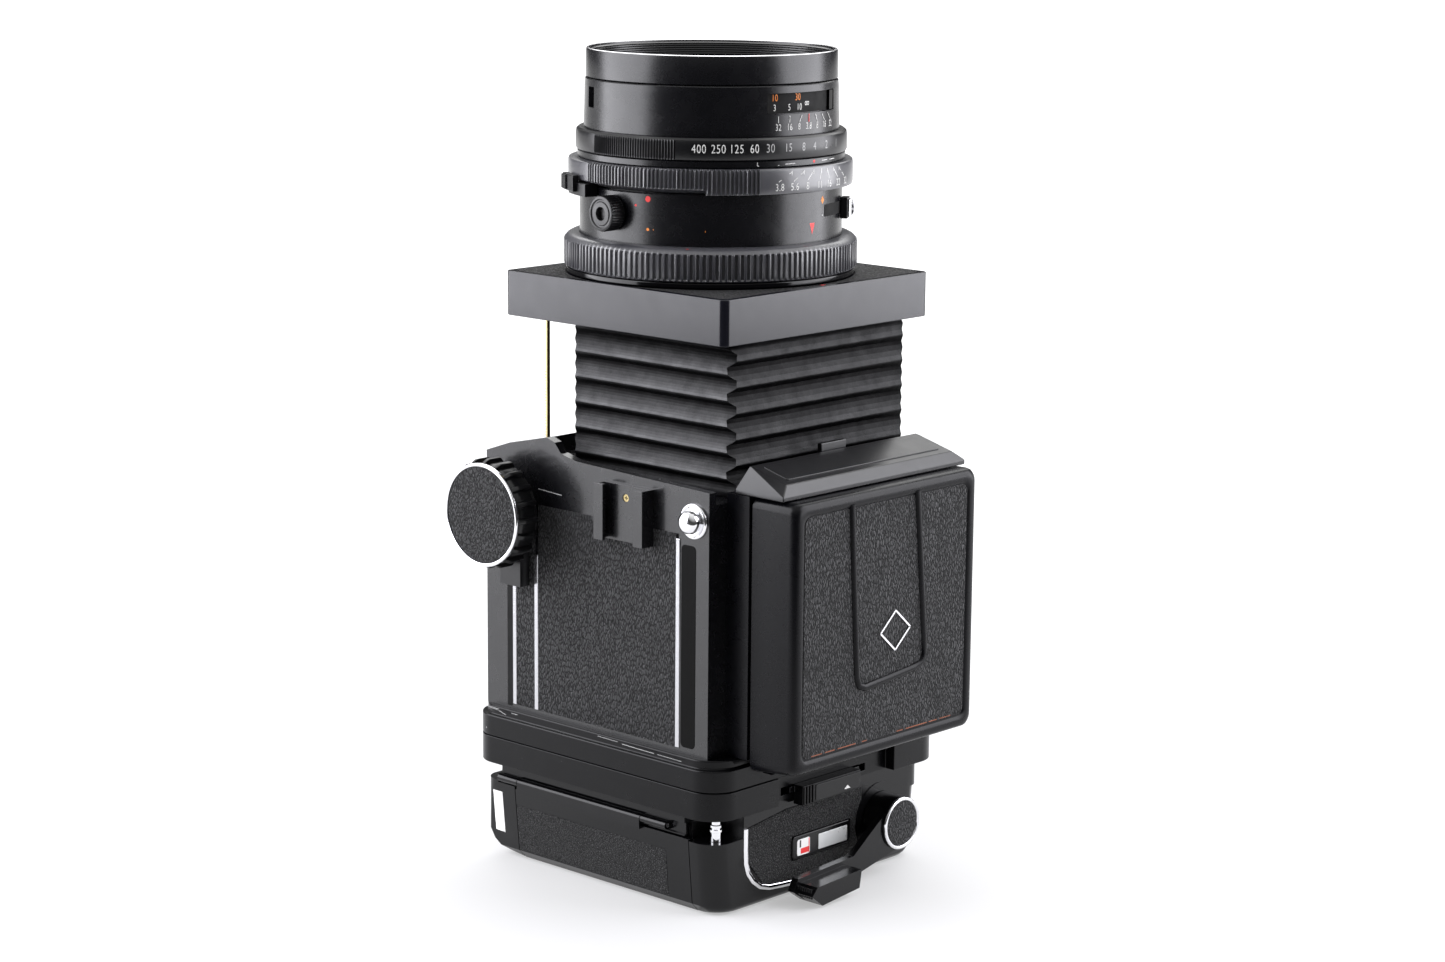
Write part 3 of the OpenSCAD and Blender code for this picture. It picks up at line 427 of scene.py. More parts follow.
def round_outline(x0, y0, x1, y1, r, n=8):
    """A rectangle with rounded corners, n steps round each."""
    pts = []
    for cx, cy, a0 in ((x1 - r, y1 - r, 0), (x0 + r, y1 - r, 90),
                       (x0 + r, y0 + r, 180), (x1 - r, y0 + r, 270)):
        for i in range(n + 1):
            a = rad(a0 + 90 * i / n)
            pts.append((cx + r * math.cos(a), cy + r * math.sin(a)))
    return pts


def left(u, v, w):      # a plane facing the camera's left; u along X, v along Z, w outwards
    return (u, -w, v)


def right(u, v, w):     # a plane facing the camera's right; u along X, v along Z
    return (u, w, v)


def top(u, v, w):       # facing the finder side; u along Y, v along Z
    return (w, u, v)


def front(u, v, w):     # facing the subject; u along X, v along Y
    return (u, v, w)


def on_ring(radius):
    """Azimuth in degrees and height to a point on a cylinder about the lens axis."""
    def f(a, z, lift=0.0):
        r = radius + lift
        return (r * math.cos(rad(a)), r * math.sin(rad(a)), z)
    return f


def sheet(name, polys, to3d, lift, mats, body, fmat=None, thick=0.03):
    """Thin filled marks: polygons lying just above a surface, with a little thickness."""
    verts, faces, fm = [], [], []
    for n, poly in enumerate(polys):
        k0, k = len(verts), len(poly)
        verts += [to3d(u, v, lift) for u, v in poly] + [to3d(u, v, lift - thick) for u, v in poly]
        faces.append(tuple(range(k0, k0 + k)))
        faces += [(k0 + i, k0 + (i + 1) % k, k0 + k + (i + 1) % k, k0 + k + i) for i in range(k)]
        fm += [fmat[n] if fmat else 0] * (k + 1)
    return piece(name, verts, faces, mats, body, fmat=fm)


def stroke(a, b, w, square=1.0):
    """A line from a to b as a polygon; square is how many v units one u unit is worth."""
    dx, dy = (b[0] - a[0]) * square, b[1] - a[1]
    d = math.hypot(dx, dy) or 1
    nx, ny = -dy / d * w / 2 / square, dx / d * w / 2
    return [(a[0] + nx, a[1] + ny), (b[0] + nx, b[1] + ny),
            (b[0] - nx, b[1] - ny), (a[0] - nx, a[1] - ny)]


def disc(u, v, r, square=1.0, n=20):
    return [(u + r / square * math.cos(TAU * i / n), v + r * math.sin(TAU * i / n))
            for i in range(n)]


def numerals(name, items, radius, mats, body, narrow=0.74, lift=0.045):
    """Dial numbers wrapped round a ring: (text, azimuth, height, size, material index)."""
    verts, faces, fm = [], [], []
    for text, az, z, size, mi in items:
        c = bpy.data.curves.new("dial", "FONT")
        c.body, c.size, c.align_x, c.align_y = text, size * 1.4, "CENTER", "CENTER"
        c.space_character, c.offset = 1.12, -0.005 * size
        o = bpy.data.objects.new("dial", c)
        bpy.context.scene.collection.objects.link(o)
        bpy.context.view_layer.update()
        me = bpy.data.meshes.new_from_object(o.evaluated_get(bpy.context.evaluated_depsgraph_get()))
        base = len(verts)
        for v in me.vertices:
            a = rad(az) + v.co.x * narrow / radius
            verts.append(((radius + lift) * math.cos(a), (radius + lift) * math.sin(a), z + v.co.y))
        for p in me.polygons:
            faces.append(tuple(base + i for i in p.vertices))
            fm.append(mi)
        bpy.data.objects.remove(o)
        bpy.data.curves.remove(c)
        bpy.data.meshes.remove(me)
    return piece(name, verts, faces, mats, body, fmat=fm)


def tube(name, path, rx, ry, up, mat, body, n=10, closed=False):
    """A rounded bar along a path; rx is half its width, ry half its height along 'up'."""
    up = Vector(up).normalized()
    pts = [Vector(p) for p in path]
    k = len(pts)
    verts, faces = [], []
    for i, p in enumerate(pts):
        a = pts[i - 1] if (i or closed) else p
        b = pts[(i + 1) % k] if (i < k - 1 or closed) else p
        t = (b - a).normalized()
        side = t.cross(up).normalized()
        for j in range(n):
            w = TAU * j / n
            verts.append(tuple(p + side * rx * math.cos(w) + up * ry * math.sin(w)))
    for i in range(k if closed else k - 1):
        i2 = (i + 1) % k
        for j in range(n):
            j2 = (j + 1) % n
            faces.append((i * n + j, i * n + j2, i2 * n + j2, i2 * n + j))
    if not closed:
        faces += [tuple(range(n)), tuple(range((k - 1) * n, k * n))]
    return piece(name, verts, faces, mat, body, angle=50)


def slab(name, low, high, mat, body, rep=(), edge=0.3, segs=2):
    """A block between two corners with broken edges."""
    (x0, y0, z0), (x1, y1, z1) = low, high
    v = [(x, y, z) for x in (x0, x1) for y in (y0, y1) for z in (z0, z1)]
    f = [(0, 1, 3, 2), (4, 5, 7, 6), (0, 1, 5, 4), (2, 3, 7, 6), (0, 2, 6, 4), (1, 3, 7, 5)]
    return piece(name, v, f, mat, body, rep, edge=edge, segs=segs)


# ---------------------------------------------------------------- body

refined("body_shell", PAINT, 0.7, 3)
refined("chrome_strips", STRIP, 0.25, 3)
refined("accessory_shoe", PAINT, 0.3, 2)
refined("adapter_ring", SATIN_PAINT, 0.9, 4)
refined("finder_frame", FINDER_PAINT, 0.6, 3)
refined("body_screws", BRASS, 0.12, 2)
refined("body_leather", LEATHER, 0.12, 2)
cad_finish(STEEL, "tripod_socket")
cad_finish(INNER_BLACK, "mirror_box", "mirror_carrier")
cad_finish(MIRROR, "reflex_mirror")
cad_finish(SCREEN, "focusing_screen")
for s, to3d, side in ((-1, left, "left"), (1, right, "right")):
    prism(f"side_strip_{side}", round_outline(37.4, 54.6, 43.6, 119.5, 1.6), to3d, 51.6, 52.12,
          STRIP_BLACK, "body", edge=0.12)
    # A flat matte black inlay stands for the groove beside the strip: painted shade where the recess
    # would be.
    prism(f"side_groove_shade_{side}", round_outline(-41, 53.2, -38.7, 97, 0.4), to3d, 51.7, 52.06,
          INNER_BLACK, "body", edge=0.05)
    lathe(f"lug_plate_{side}", [(5.6, 0), (5.6, 0.6), (5.35, 0.95), (4.9, 1.0), (4.5, 0.6),
                                (4.1, 0.35), (3.8, 0.35), (3.75, 2.9), (3.3, 3.9), (2.2, 4.6),
                                (0.001, 4.8)],
          CHROME, "body", ("strap_lugs",) if s < 0 else (), n=96, way=(0, s, 0),
          at=(42.8, s * 52, 127.4), close=False, angle=50,
          shape=lambda i, a, r, h: (r * (1 + 0.012 * math.cos(rad(6 * a))) if i in (7, 8) else r, h))
# Grey strokes on the adapter ring: the long ones along its top edge paint the edge's highlight, and the
# two short ones lower down are scratches.
edge_glint_and_scratches = ((-49, 52.15, -42, 52.1, 0.1), (-46, 51.9, -41.5, 51.6, 0.07),
             (-41.5, 51.5, -38.6, 50.7, 0.12), (-36, 51.8, -33, 51.75, 0.08),
             (4, 52.0, 13, 51.8, 0.08), (15, 51.5, 29, 51.2, 0.14), (30.5, 51.2, 41, 51.05, 0.08),
             (-44.5, 46.2, -44.2, 46.6, 0.35), (-48, 44.6, -47.8, 44.8, 0.3))
edge_glint_and_scuffs = [stroke((x0, z0), (x1, z1), wide) for x0, z0, x1, z1, wide in edge_glint_and_scratches]
sheet("adapter_edge_glint_and_scuffs", edge_glint_and_scuffs, left, 55.3, GREY, "body", thick=0.22)
sheet("bevel_line_left", [stroke((-26.3, 127.7), (-15.6, 127.1), 0.25)], left, 52.03, GREY,
      "body")

# ---------------------------------------------------------------- focusing drive

refined("focus_lock_lever", RING_BLACK, 0.4, 3)
refined("cocking_lever", RING_BLACK, 0.6, 3)
refined("release_button", CHROME, 0.3, 3)
cad_finish(STEEL, "focus_shaft")
cad_finish(BRASS, "focus_racks")


def flutes(rows, count, depth, wide=0.55):
    """Deep grips on the given profile rows."""
    def f(i, a, r, h):
        if i not in rows:
            return r, h
        t = (a * count / 360) % 1
        edge = min(1, max(0, (abs(t - 0.5) * 2 - (1 - wide)) / 0.16))
        return r - depth * (1 - edge), h
    return f


KNOB_X, KNOB_Z, KNOB_FOOT = -37.5, 119.6, 57.2
for s, side in ((-1, "left"), (1, "right")):
    knob_at = (KNOB_X, s * KNOB_FOOT, KNOB_Z)
    lathe(f"knob_{side}", [(6, 0.3), (13, 0), (16.2, 0.2), (17.4, 0.9), (17.9, 1.4), (18.0, 2.2),
                           (18.0, 6.4), (17.6, 7.4), (17.0, 8.4), (16.7, 9.1), (16.6, 9.3),
                           (15.6, 9.25), (6, 9.1)],
          RING_BLACK, "focus_drive", ("focus_knobs",) if s < 0 else (), n=480,
          way=(0, s, 0),
          at=knob_at, shape=flutes((3, 4, 5, 6, 7, 8), 20, 1.35, 0.4))
    lathe(f"knob_ring_{side}", [(15.75, 8.9), (16.85, 8.9), (16.9, 9.5), (16.7, 9.85),
                                (16.2, 9.95), (15.85, 9.8)],
          CHROME, "focus_drive", ("knob_rings",) if s < 0 else (), n=160, way=(0, s, 0),
          at=knob_at, angle=60)
    lathe(f"knob_skin_{side}", [(15.85, 9.1), (15.8, 9.45), (15.2, 9.62), (10, 9.7), (5, 9.72),
                                (0.001, 9.72)],
          LEATHER_FINE, "focus_drive", n=120, way=(0, s, 0), at=knob_at, close=False,
          angle=60)

# ---------------------------------------------------------------- lens panel and bellows

refined("front_plate", PLATE_PAINT, 0.7, 3)
refined("front_leather", LEATHER_TOP, 0.1, 1)
chips = [stroke((37.5, 196.05), (46.8, 196.12), 0.22), stroke((48.2, 196.0), (49.6, 195.8), 0.5),
         [(9.2, 188.6), (9.9, 189.0), (10.0, 189.7), (9.4, 189.5)], disc(-21.5, 192.2, 0.12)]
sheet("panel_chips", chips, left, 48.45, [WHITE], "front_standard", thick=0.17)
refined("lens_mount", GLOSS, 0.5, 3)


def bellows():
    """Folded cloth: crests on one pair of sides stand half a pleat above those on the other."""
    x0, x1, hw, z0, z1, pleats = -21.3, 47.9, 41.0, 133.0, 182.0, 6
    pitch = (z1 - z0) / pleats
    steps, across = 20, 24          # rows in a pleat, points along a side
    lag_x, lag_y = 0.72, 0.22       # where the crests stand on the X and Y sides
    near, side, middle = 3.3, 0.9, 2.2      # depth of a fold at its two corners and mid side

    def crest(z, lag):
        t = ((z - z0) / pitch + lag) % 1
        out = 1 - t / 0.76 if t < 0.76 else (t - 0.76) / 0.24
        out = out ** 0.85
        edge = min(1, (z - z0) / 2, (z1 - z) / 2)
        return out * edge

    def painted_shading(row, lag, shade_gain):
        """Which shaded copy of the cloth a row gets: the lightest, a painted highlight, on a crest; the
        darkest, painted shade, deep in a fold.
        """
        t = ((row + 0.5) / steps + lag) % 1
        out = 1 - t / 0.8 if t < 0.8 else (t - 0.8) * 1.5
        return min(len(SHADED_CLOTH) - 1, int(max(0, out) * 6.99 * shade_gain))

    verts, faces, fmat = [], [], []
    rows = pleats * steps + 1
    for i in range(rows):
        z = z0 + i * pitch / steps
        dy, dx = 1 - crest(z, lag_y), 1 - crest(z, lag_x)
        ends = ((x1 - near * dx, -hw + near * dy), (x1 - side * dx, hw - side * dy),
                (x0 + near * dx, hw - near * dy), (x0 + side * dx, -hw + side * dy))
        depths = (near, side, near, side)
        for k, (p, q) in enumerate(zip(ends, ends[1:] + ends[:1])):
            fold = dx if k % 2 == 0 else dy
            outward = ((1, 0), (0, 1), (-1, 0), (0, -1))[k]
            for j in range(across):
                t = j / across
                deep = depths[k] * (1 - t) + depths[(k + 1) % 4] * t
                lift = (deep - middle) * fold * (1 - abs(2 * t - 1) ** 5)
                lift += 0.12 * math.sin(j * 1.7 + k + z * 0.6) * (1 - abs(2 * t - 1) ** 4)
                verts.append((p[0] + (q[0] - p[0]) * t + outward[0] * lift,
                              p[1] + (q[1] - p[1]) * t + outward[1] * lift, z))
    n = 4 * across
    for i in range(rows - 1):
        for j in range(n):
            j2 = (j + 1) % n
            faces.append((i * n + j, i * n + j2, (i + 1) * n + j2, (i + 1) * n + j))
            on_y_side = (j // across) % 2
            # Each face takes a shaded copy of the cloth: painted shade in the folds, painted highlight
            # on the crests, and darker copies on the X sides as painted shade on that side of the
            # bellows.
            fmat.append(painted_shading(i, lag_y, 1) if on_y_side else painted_shading(i, lag_x, 0.6))
    o = piece("bellows_cloth", verts, faces, SHADED_CLOTH, None, fmat=fmat, angle=50)
    sol = o.modifiers.new("skin", "SOLIDIFY")
    sol.thickness = 0.5 * MM
    sol.offset = -1
    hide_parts("bellows")
    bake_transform(o)


bellows()

# ---------------------------------------------------------------- lens


def ribs(rows, spans, pitch, depth, wide=0.5):
    """Straight ribs on the given profile rows, only inside the azimuth spans."""
    def f(i, a, r, h):
        if i not in rows or not any(p <= a <= q for p, q in spans):
            return r, h
        t = (a / pitch) % 1
        edge = min(1, max(0, (abs(t - 0.5) * 2 - (1 - wide)) / 0.25))
        return r - depth * (1 - edge), h
    return f


lathe("breech_ring_fine", [(42.4, 198.5), (46.6, 198.5), (47.1, 198.9), (47.35, 199.4), (47.35, 206.6),
                           (47.2, 207.3), (46.3, 208.3), (45.4, 208.8), (44.5, 209), (42.4, 209)],
      RIB_SHEEN_BLACK, "breech", ("breech_ring",), n=1440,
      shape=ribs((3, 4), [(-180, 180)], 2.4, 0.75, 0.62))
lathe("barrel_fine", [(34, 200), (42.0, 200), (42.3, 200.3), (42.3, 224.9), (42.0, 225.3),
                      (40.5, 225.3), (40.5, 233.5), (42.7, 233.5), (43.0, 233.8), (43.0, 235.5),
                      (42.7, 235.8), (40.1, 235.8), (40.1, 243), (34, 243)],
      LENS_BLACK, "front_standard", ("lens_barrel",), n=256)


def aperture_shape(i, a, r, h):
    """Two ribbed grips, a deeper skirt on one half and a lower band under the numbers."""
    if i in (3, 4, 5, 6) and (-104 <= a <= -27.5 or 75 <= a <= 152):
        t = (a / 1.72) % 1
        edge = min(1, max(0, (abs(t - 0.5) * 2 - 0.45) / 0.25))
        r -= 0.75 * (1 - edge)
    if i in (1, 2, 3) and (-180 <= a < -49):
        h += 1.6
    if -27.5 < a < 60 and i in (3, 4, 5, 6):
        r -= 0.35
    return r, h


lathe("aperture_ring_fine", [(40.6, 225.4), (44.6, 225.4), (45.4, 225.5), (45.9, 226.0), (45.95, 227.5),
                             (45.95, 232.4), (45.7, 233.1), (45.0, 233.35), (40.6, 233.4)],
      RIB_SHEEN_BLACK, "aperture", ("aperture_ring",), n=1440, shape=aperture_shape)
lathe("shutter_ring_fine", [(40.2, 235.9), (42.8, 235.9), (43.3, 236.1), (43.56, 236.6), (43.56, 241.3),
                            (43.3, 242.2), (42.6, 242.8), (41.4, 242.9), (40.2, 242.9)],
      RING_BLACK, "shutter", ("shutter_ring",), n=1440,
      shape=ribs((3, 4), [(-104.5, -62), (75, 118)], 1.25, 0.4, 0.55))


def barrel_shape(i, a, r, h):
    """The distance window and a small notch on the far side."""
    if i in (4, 5) and -21.5 <= a <= 23.5:
        r -= 1.15
    if i in (4, 5) and -120 <= a <= -113:
        r -= 2.2
    return r, h


lathe("front_barrel_fine", [(38.9, 243.0), (41.0, 243.0), (41.0, 244.6), (40.8, 249.7), (40.8, 249.72),
                            (40.7, 256.2), (40.7, 256.22), (40.5, 258.3), (40.2, 258.6), (38.9, 258.7)],
      LENS_BLACK, "front_standard", ("front_barrel",), n=720, shape=barrel_shape)
thread = [(38.45 + (0.22 if k % 2 else 0), 267.0 - 0.36 * k) for k in range(12)]
lathe("front_ring_fine", [(38.0, 258.9), (40.1, 258.9), (40.35, 259.15), (40.3, 267.3), (40.1, 267.8),
                          (39.75, 268.0), (39.3, 267.9), (39.0, 267.3)] + thread + [(37.6, 262.4)],
      [LENS_BLACK, EDGE], "scale", ("front_ring",), n=256,
      pmat=[0, 0, 0, 0, 1, 1, 0, 0] + [0] * 13, angle=25)


def arc_block(name, a0, a1, z0, z1, r0, r1, mat, body, rep=(), edge=0.2):
    """A block curved round the lens axis."""
    steps = max(2, int((a1 - a0) / 1.5))
    verts, faces = [], []
    for i in range(steps + 1):
        a = a0 + (a1 - a0) * i / steps
        verts += [(r * math.cos(rad(a)), r * math.sin(rad(a)), z) for r, z in
                  ((r0, z0), (r1, z0), (r1, z1), (r0, z1))]
    for i in range(steps):
        for j in range(4):
            faces.append((i * 4 + j, i * 4 + (j + 1) % 4, i * 4 + 4 + (j + 1) % 4, i * 4 + 4 + j))
    faces += [(0, 1, 2, 3), tuple(steps * 4 + k for k in range(4))]
    return piece(name, verts, faces, mat, body, rep, edge=edge)


arc_block("dof_foot", -121, -104, 222.4, 226.6, 42.5, 47.2, RING_BLACK, "dof",
          ("dof_lever",), 0.4)
arc_block("dof_thumb", -124, -111, 223.6, 228.9, 46.4, 48.6, RING_BLACK, "dof",
          (), 0.35)
for k in range(5):
    arc_block(f"dof_rib_{k}", -123.4 + 1.3 * k, -122.7 + 1.3 * k, 224, 228.5, 48.4, 49.1,
              RING_BLACK, "dof", (), 0.12)
arc_block("sync_block", 29.2, 35.8, 214.6, 221.4, 42.5, 44.9, RING_BLACK, "sync",
          ("sync_lever",), 0.3)
for k in range(3):
    arc_block(f"sync_bar_{k}", 29.8 + 2 * k, 31 + 2 * k, 215.2, 220.8, 44.7, 45.5, CHROME, "sync",
              (), 0.15)
# A thin matte black strip, flush with the barrel, stands for the sync lever's slot: painted shade where
# the recess would be.
arc_block("sync_slot_shade", 11, 31, 216.6, 220.4, 42.2, 42.42, INNER_BLACK, "front_standard",
          (), 0)
arc_block("window_floor", -21.2, 19.2, 249.9, 256.1, 39.5, 39.73, INNER_BLACK, "front_standard",
          (), 0)
arc_block("window_block", 19.2, 23.3, 249.9, 256.1, 39.0, 40.62, GLOSS, "front_standard",
          (), 0.15)
refined("sync_terminal", STEEL, 0.25, 2)
cad_finish(GLASS, "lens_glass")
cad_finish(INNER_BLACK, "lens_cells", "distance_scale")
cad_finish(STEEL, "shutter_leaves", "aperture_blades")

KNOB_AZIMUTH = rad(-92.5)
knob_way = (math.cos(KNOB_AZIMUTH), math.sin(KNOB_AZIMUTH), 0)
lathe("mirror_up_knob_fine", [(2.4, 41.5), (2.4, 42.6), (5.2, 42.7), (5.6, 43.0), (5.65, 47.6),
                              (5.4, 48.1), (5.0, 48.3), (4.6, 48.3), (4.3, 47.9), (3.9, 47.9),
                              (3.6, 48.2), (2.2, 48.25), (2.0, 47.9), (1.8, 46.6), (0.001, 46.5)],
      RING_BLACK, "mirror_up", ("mirror_up_knob",), n=240, way=knob_way,
      at=(0, 0, 218.2), close=False, shape=ribs((3, 4), [(-180, 180)], 9, 0.18, 0.5))

# Numbers and marks: places are degrees round the lens axis and heights along it.
per = rad(1) * 43       # millimetres in a degree of the rings
speeds = (("400", -52, 2.75, 0), ("250", -44, 2.75, 0), ("125", -36.5, 2.75, 0),
          ("60", -29, 2.75, 0), ("30", -22, 2.75, 1), ("15", -13.5, 2.6, 1), ("8", -5.5, 2.6, 1),
          ("4", 1, 2.6, 1), ("2", 9, 2.6, 1), ("1", 17.5, 2.6, 1))
numerals("shutter_numbers", [(text, a, 239.5, high, tint) for text, a, high, tint in speeds],
         43.56, [WHITE, GREY], "shutter")
stops = (("3.8", -19), ("5.6", -12), ("8", -5.5), ("11", 1.5), ("16", 7.5), ("22", 14.5),
         ("32", 21.5))
numerals("aperture_numbers", [(text, a, 227.5, 2.3, 0) for text, a in stops], 45.6, [WHITE],
         "aperture")
stop_pairs = (("32", -16.5), ("16", -10.5), ("8", -5), ("3.8", 1), ("8", 7), ("16", 13), ("32", 19))
numerals("depth_numbers", [(text, a, 245.6, 2.1, 0) for text, a in stop_pairs], 40.98, [WHITE],
         "front_standard", narrow=0.7)
numerals("distance_numbers",
         [("10", -17.5, 254.7, 2.2, 1), ("3", -17.5, 251.6, 2.1, 0), ("5", -9.5, 251.6, 2.1, 0),
          ("30", -4.5, 254.7, 2.2, 1), ("10", -3.5, 251.6, 2.1, 0), ("∞", 1.5, 252.6, 2.4, 0)],
         39.76, [WHITE, ORANGE], "scale", narrow=0.7)
index = [stroke((-27.5, 234.2), (-27.5, 235.3), 0.25, per),
         stroke((-27.5, 234.2), (-17.5, 234.2), 0.25, per),
         stroke((-14.5, 234.5), (-9.5, 234.5), 0.22, per),
         stroke((7, 234.7), (11, 234.7), 0.22, per),
         stroke((13, 234.7), (17.5, 234.7), 0.22, per), disc(1.5, 234.7, 0.5, per)]
sheet("index_marks", index, on_ring(43.0), 0.04, [WHITE, RED], "front_standard",
      fmat=[0, 0, 0, 0, 0, 1])
fan = [stroke((a, 229.3), (a + d, 232.2), 0.2, per) for a, d in
       ((-19.5, 6), (-12.5, 5), (-5.5, 3.2), (1.5, 0.8), (7.5, -1.5), (14.0, -3.5), (20, -5))]
fan += [stroke((a, 231.2), (a, 232.6), 0.18, per) for a in (-13.5, -7.5, -2.3, 2.3, 6, 10.5, 15)]
sheet("aperture_marks", fan, on_ring(45.6), 0.04, [WHITE], "aperture")
depth = [stroke((a, 247.0), (a + d, 249.2), 0.18, per) for a, d in
         ((-16.5, 0), (-10.5, 0), (-5, 1.6), (7, -1.4), (13, -2.4), (19, -3))]
depth.append(stroke((1, 246.9), (1, 249.4), 0.3, per))
sheet("depth_marks", depth, on_ring(41.0), 0.04, [WHITE, RED], "front_standard",
      fmat=[0] * 6 + [1])
dots = [disc(-74.5, 223.4, 0.95, per), disc(-80.5, 221.2, 0.4, per), disc(-74.5, 213.9, 0.5, per),
        [(0.4, 215.2), (3.6, 215.2), (2.0, 211.6)],
        [(8.2, 222), (9.3, 223.3), (10.4, 222), (9.3, 220.7)],
        stroke((-72, 213.9), (-49, 213.9), 0.35, per), stroke((9, 217.2), (20, 217.2), 0.25, per)]
sheet("barrel_marks", dots, on_ring(42.3), 0.04, [RED, ORANGE, WHITE], "front_standard",
      fmat=[0, 0, 1, 0, 1, 1, 2])


def on_breech(u, v, w):     # the breech ring's front face; u degrees round it, v outwards
    return ((45.6 + v) * math.cos(rad(u)), (45.6 + v) * math.sin(rad(u)), w)


sheet("breech_mark", [disc(-56, 0, 0.5)], on_breech, 208.8, [RED], "breech")
sheet("panel_mark", [round_outline(48.3, -1.3, 49.5, 0.4, 0.3)], front, 196.4, [RED],
      "front_standard")

# ---------------------------------------------------------------- finder

refined("finder_front", NAME_PAINT, 0.5, 3)
slope = math.atan2(3.9, 15)


def on_slope(u, v, w):      # the nameplate's sloping face; u along Y, v down the slope, w outwards
    return (54.6 + v * math.cos(slope) + w * math.sin(slope), u,
            144.8 - v * math.sin(slope) + w * math.cos(slope))


prism("name_panel", round_outline(-36.6, 2.4, 36.6, 13.0, 0.8), on_slope, -0.3, 0.35, NAME_PAINT,
      "body", edge=0.2, segs=2)


def lid_shell():
    """Finder lid: a shallow dish with rounded edges, a raised rim and a sunk centre."""
    # height, inset from the outline, corner radius
    outer = [(59.15, 0.3, 3.0), (66, 0.1, 3.2), (74.4, 0, 3.4), (75.8, 0.15, 3.6), (76.7, 0.6, 3.8),
             (77.2, 1.3, 3.8), (77.4, 2.3, 3.6), (77.4, 3.2, 3.4), (77.2, 4.0, 3.2), (76.8, 4.4, 3.0)]
    inner = [(75.1, 1.9, 2.4), (59.15, 1.6, 2.4)]
    verts, loops, n = [], [], 0
    for x, inset, r in outer + inner:
        low = 48.6 + (min(x, 76) - 59.1) * 0.11 + inset * 0.95
        high = 136.1 - inset
        ring = round_outline(-43.8 + inset, low, 43.8 - inset, high, r, 8)
        n = len(ring)
        loops.append(len(verts))
        verts += [(x, y, z) for y, z in ring]
    faces = []
    for k, (a, b) in enumerate(zip(loops, loops[1:])):
        if k == len(outer) - 1:
            continue
        for j in range(n):
            faces.append((a + j, a + (j + 1) % n, b + (j + 1) % n, b + j))
    for j in range(n):
        faces.append((loops[-1] + j, loops[-1] + (j + 1) % n, loops[0] + (j + 1) % n, loops[0] + j))
    faces.append(tuple(loops[len(outer) - 1] + j for j in range(n)))
    faces.append(tuple(loops[len(outer)] + j for j in range(n)))
    return piece("lid_shell", verts, faces, FINDER_PAINT, "lid", ("finder_lid",),
                 angle=40)


lid_shell()
for s in (-1, 1):
    lathe(f"lid_knuckle_{s + 2}", [(0.66, 0), (1.0, 0), (1.1, 0.15), (1.1, 11.7), (1.0, 11.85),
                                   (0.66, 11.85)],
          STEEL, "lid", n=32, way=(0, 1, 0), at=(59.7, 14 if s > 0 else -25.9, 47.2))
    y0, y1 = (14.1, 25.8) if s > 0 else (-25.8, -14.1)
    slab(f"lid_lug_{s + 2}", (59.2, y0, 47.5), (60.6, y1, 50.4), FINDER_PAINT, "lid",
         edge=0.2)
cad_finish(PLASTIC, "left_flap", "right_flap", "magnifier_arm")
cad_finish(GLASS, "magnifier_lens")
prism("lid_skin", round_outline(-39.2, 55.3, 39.2, 131.5, 2.6), top, 76.5, 77.0, LEATHER, "lid",
      ("lid_leather",), edge=0.3, segs=3)
rib = [(-17.5, 132.6), (-16.9, 122), (-14.4, 84), (-13.9, 77), (-12.8, 74.3), (-10.2, 73.2),
       (0, 74), (14, 75.3), (17.6, 76.3), (18.9, 79), (18.7, 84), (15.2, 121), (14.0, 132.6)]
tube("lid_rib", [(76.9, y, z) for y, z in rib], 1.25, 0.95, (1, 0, 0), FINDER_PAINT, "lid",
     n=14)
mid_y, mid_z, half_wide, half_high = 4.1, 89.2, 7.2, 6.4
diamond = [(mid_y - half_wide, mid_z), (mid_y, mid_z + half_high),
           (mid_y + half_wide, mid_z), (mid_y, mid_z - half_high)]
emblem = [stroke(a, b, 0.6) for a, b in zip(diamond, diamond[1:] + diamond[:1])]
sheet("lid_emblem", emblem, top, 77.35, [CHROME], "lid", thick=0.3)
wear_line = [(-35, -30), (-28.5, -24), (-22.5, -14), (-11, -8.6), (6, 9), (10.5, 21), (22, 26),
             (27.5, 33)]
sheet("lid_wear", [stroke((a, 55.75), (b, 55.75), 0.32) for a, b in wear_line], top, 77.02, [RUST],
      "lid")

# ---------------------------------------------------------------- film back



def wall(z):
    """Half the width of the film back, a little wider towards the body."""
    return 49.05 + max(0, z - 3) * 2 / 21


refined("revolving_plate", SATIN_PAINT, 0.8, 3)
# The heel's rounding as height and inset; above the rounded part it stands clear of the shell.
heel_steps = ((-0.1, 4), (0, 3.6), (0.3, 2.35), (0.9, 1.25), (1.8, 0.5), (2.8, 0.1), (3.8, 0),
              (14, 0), (24, 0), (24.1, -9), (60, -9))
heel = []
for z, inset in heel_steps:
    half = wall(z) - inset
    ring = round_outline(-70, -half, 51.3 - inset, half, 8.5, 9)
    heel.append([(x, y, z) for x, y in ring])
refined("holder_shell", HOLDER_PAINT, 0.35, 2, inside=heel)
refined("back_door", HOLDER_PAINT, 0.6, 3)
refined("door_leather", LEATHER_BACK, 0.25, 2)
refined("holder_leather", LEATHER_BACK, 0.1, 1)
refined("advance_lever", HOLDER_PAINT, 0.7, 4)
refined("lock_slider", SATIN_PAINT, 0.5, 3)
refined("dark_slide", STEEL, 0.2, 2)
cad_finish(STEEL, "door_hinge_pin")
cad_finish(PLASTIC, "take_up_spool", "supply_spool", "film_insert", "pressure_plate")
trim_path = [(-36.1, 27.0), (-36.1, 20), (-35.9, 15.6), (-34.8, 12.2), (-32.6, 9.2), (-29.2, 6.6),
             (-25, 5.3), (-19, 4.7), (-12, 4.2), (-5, 3.9), (2, 3.8), (8, 4.2), (12, 5.0)]
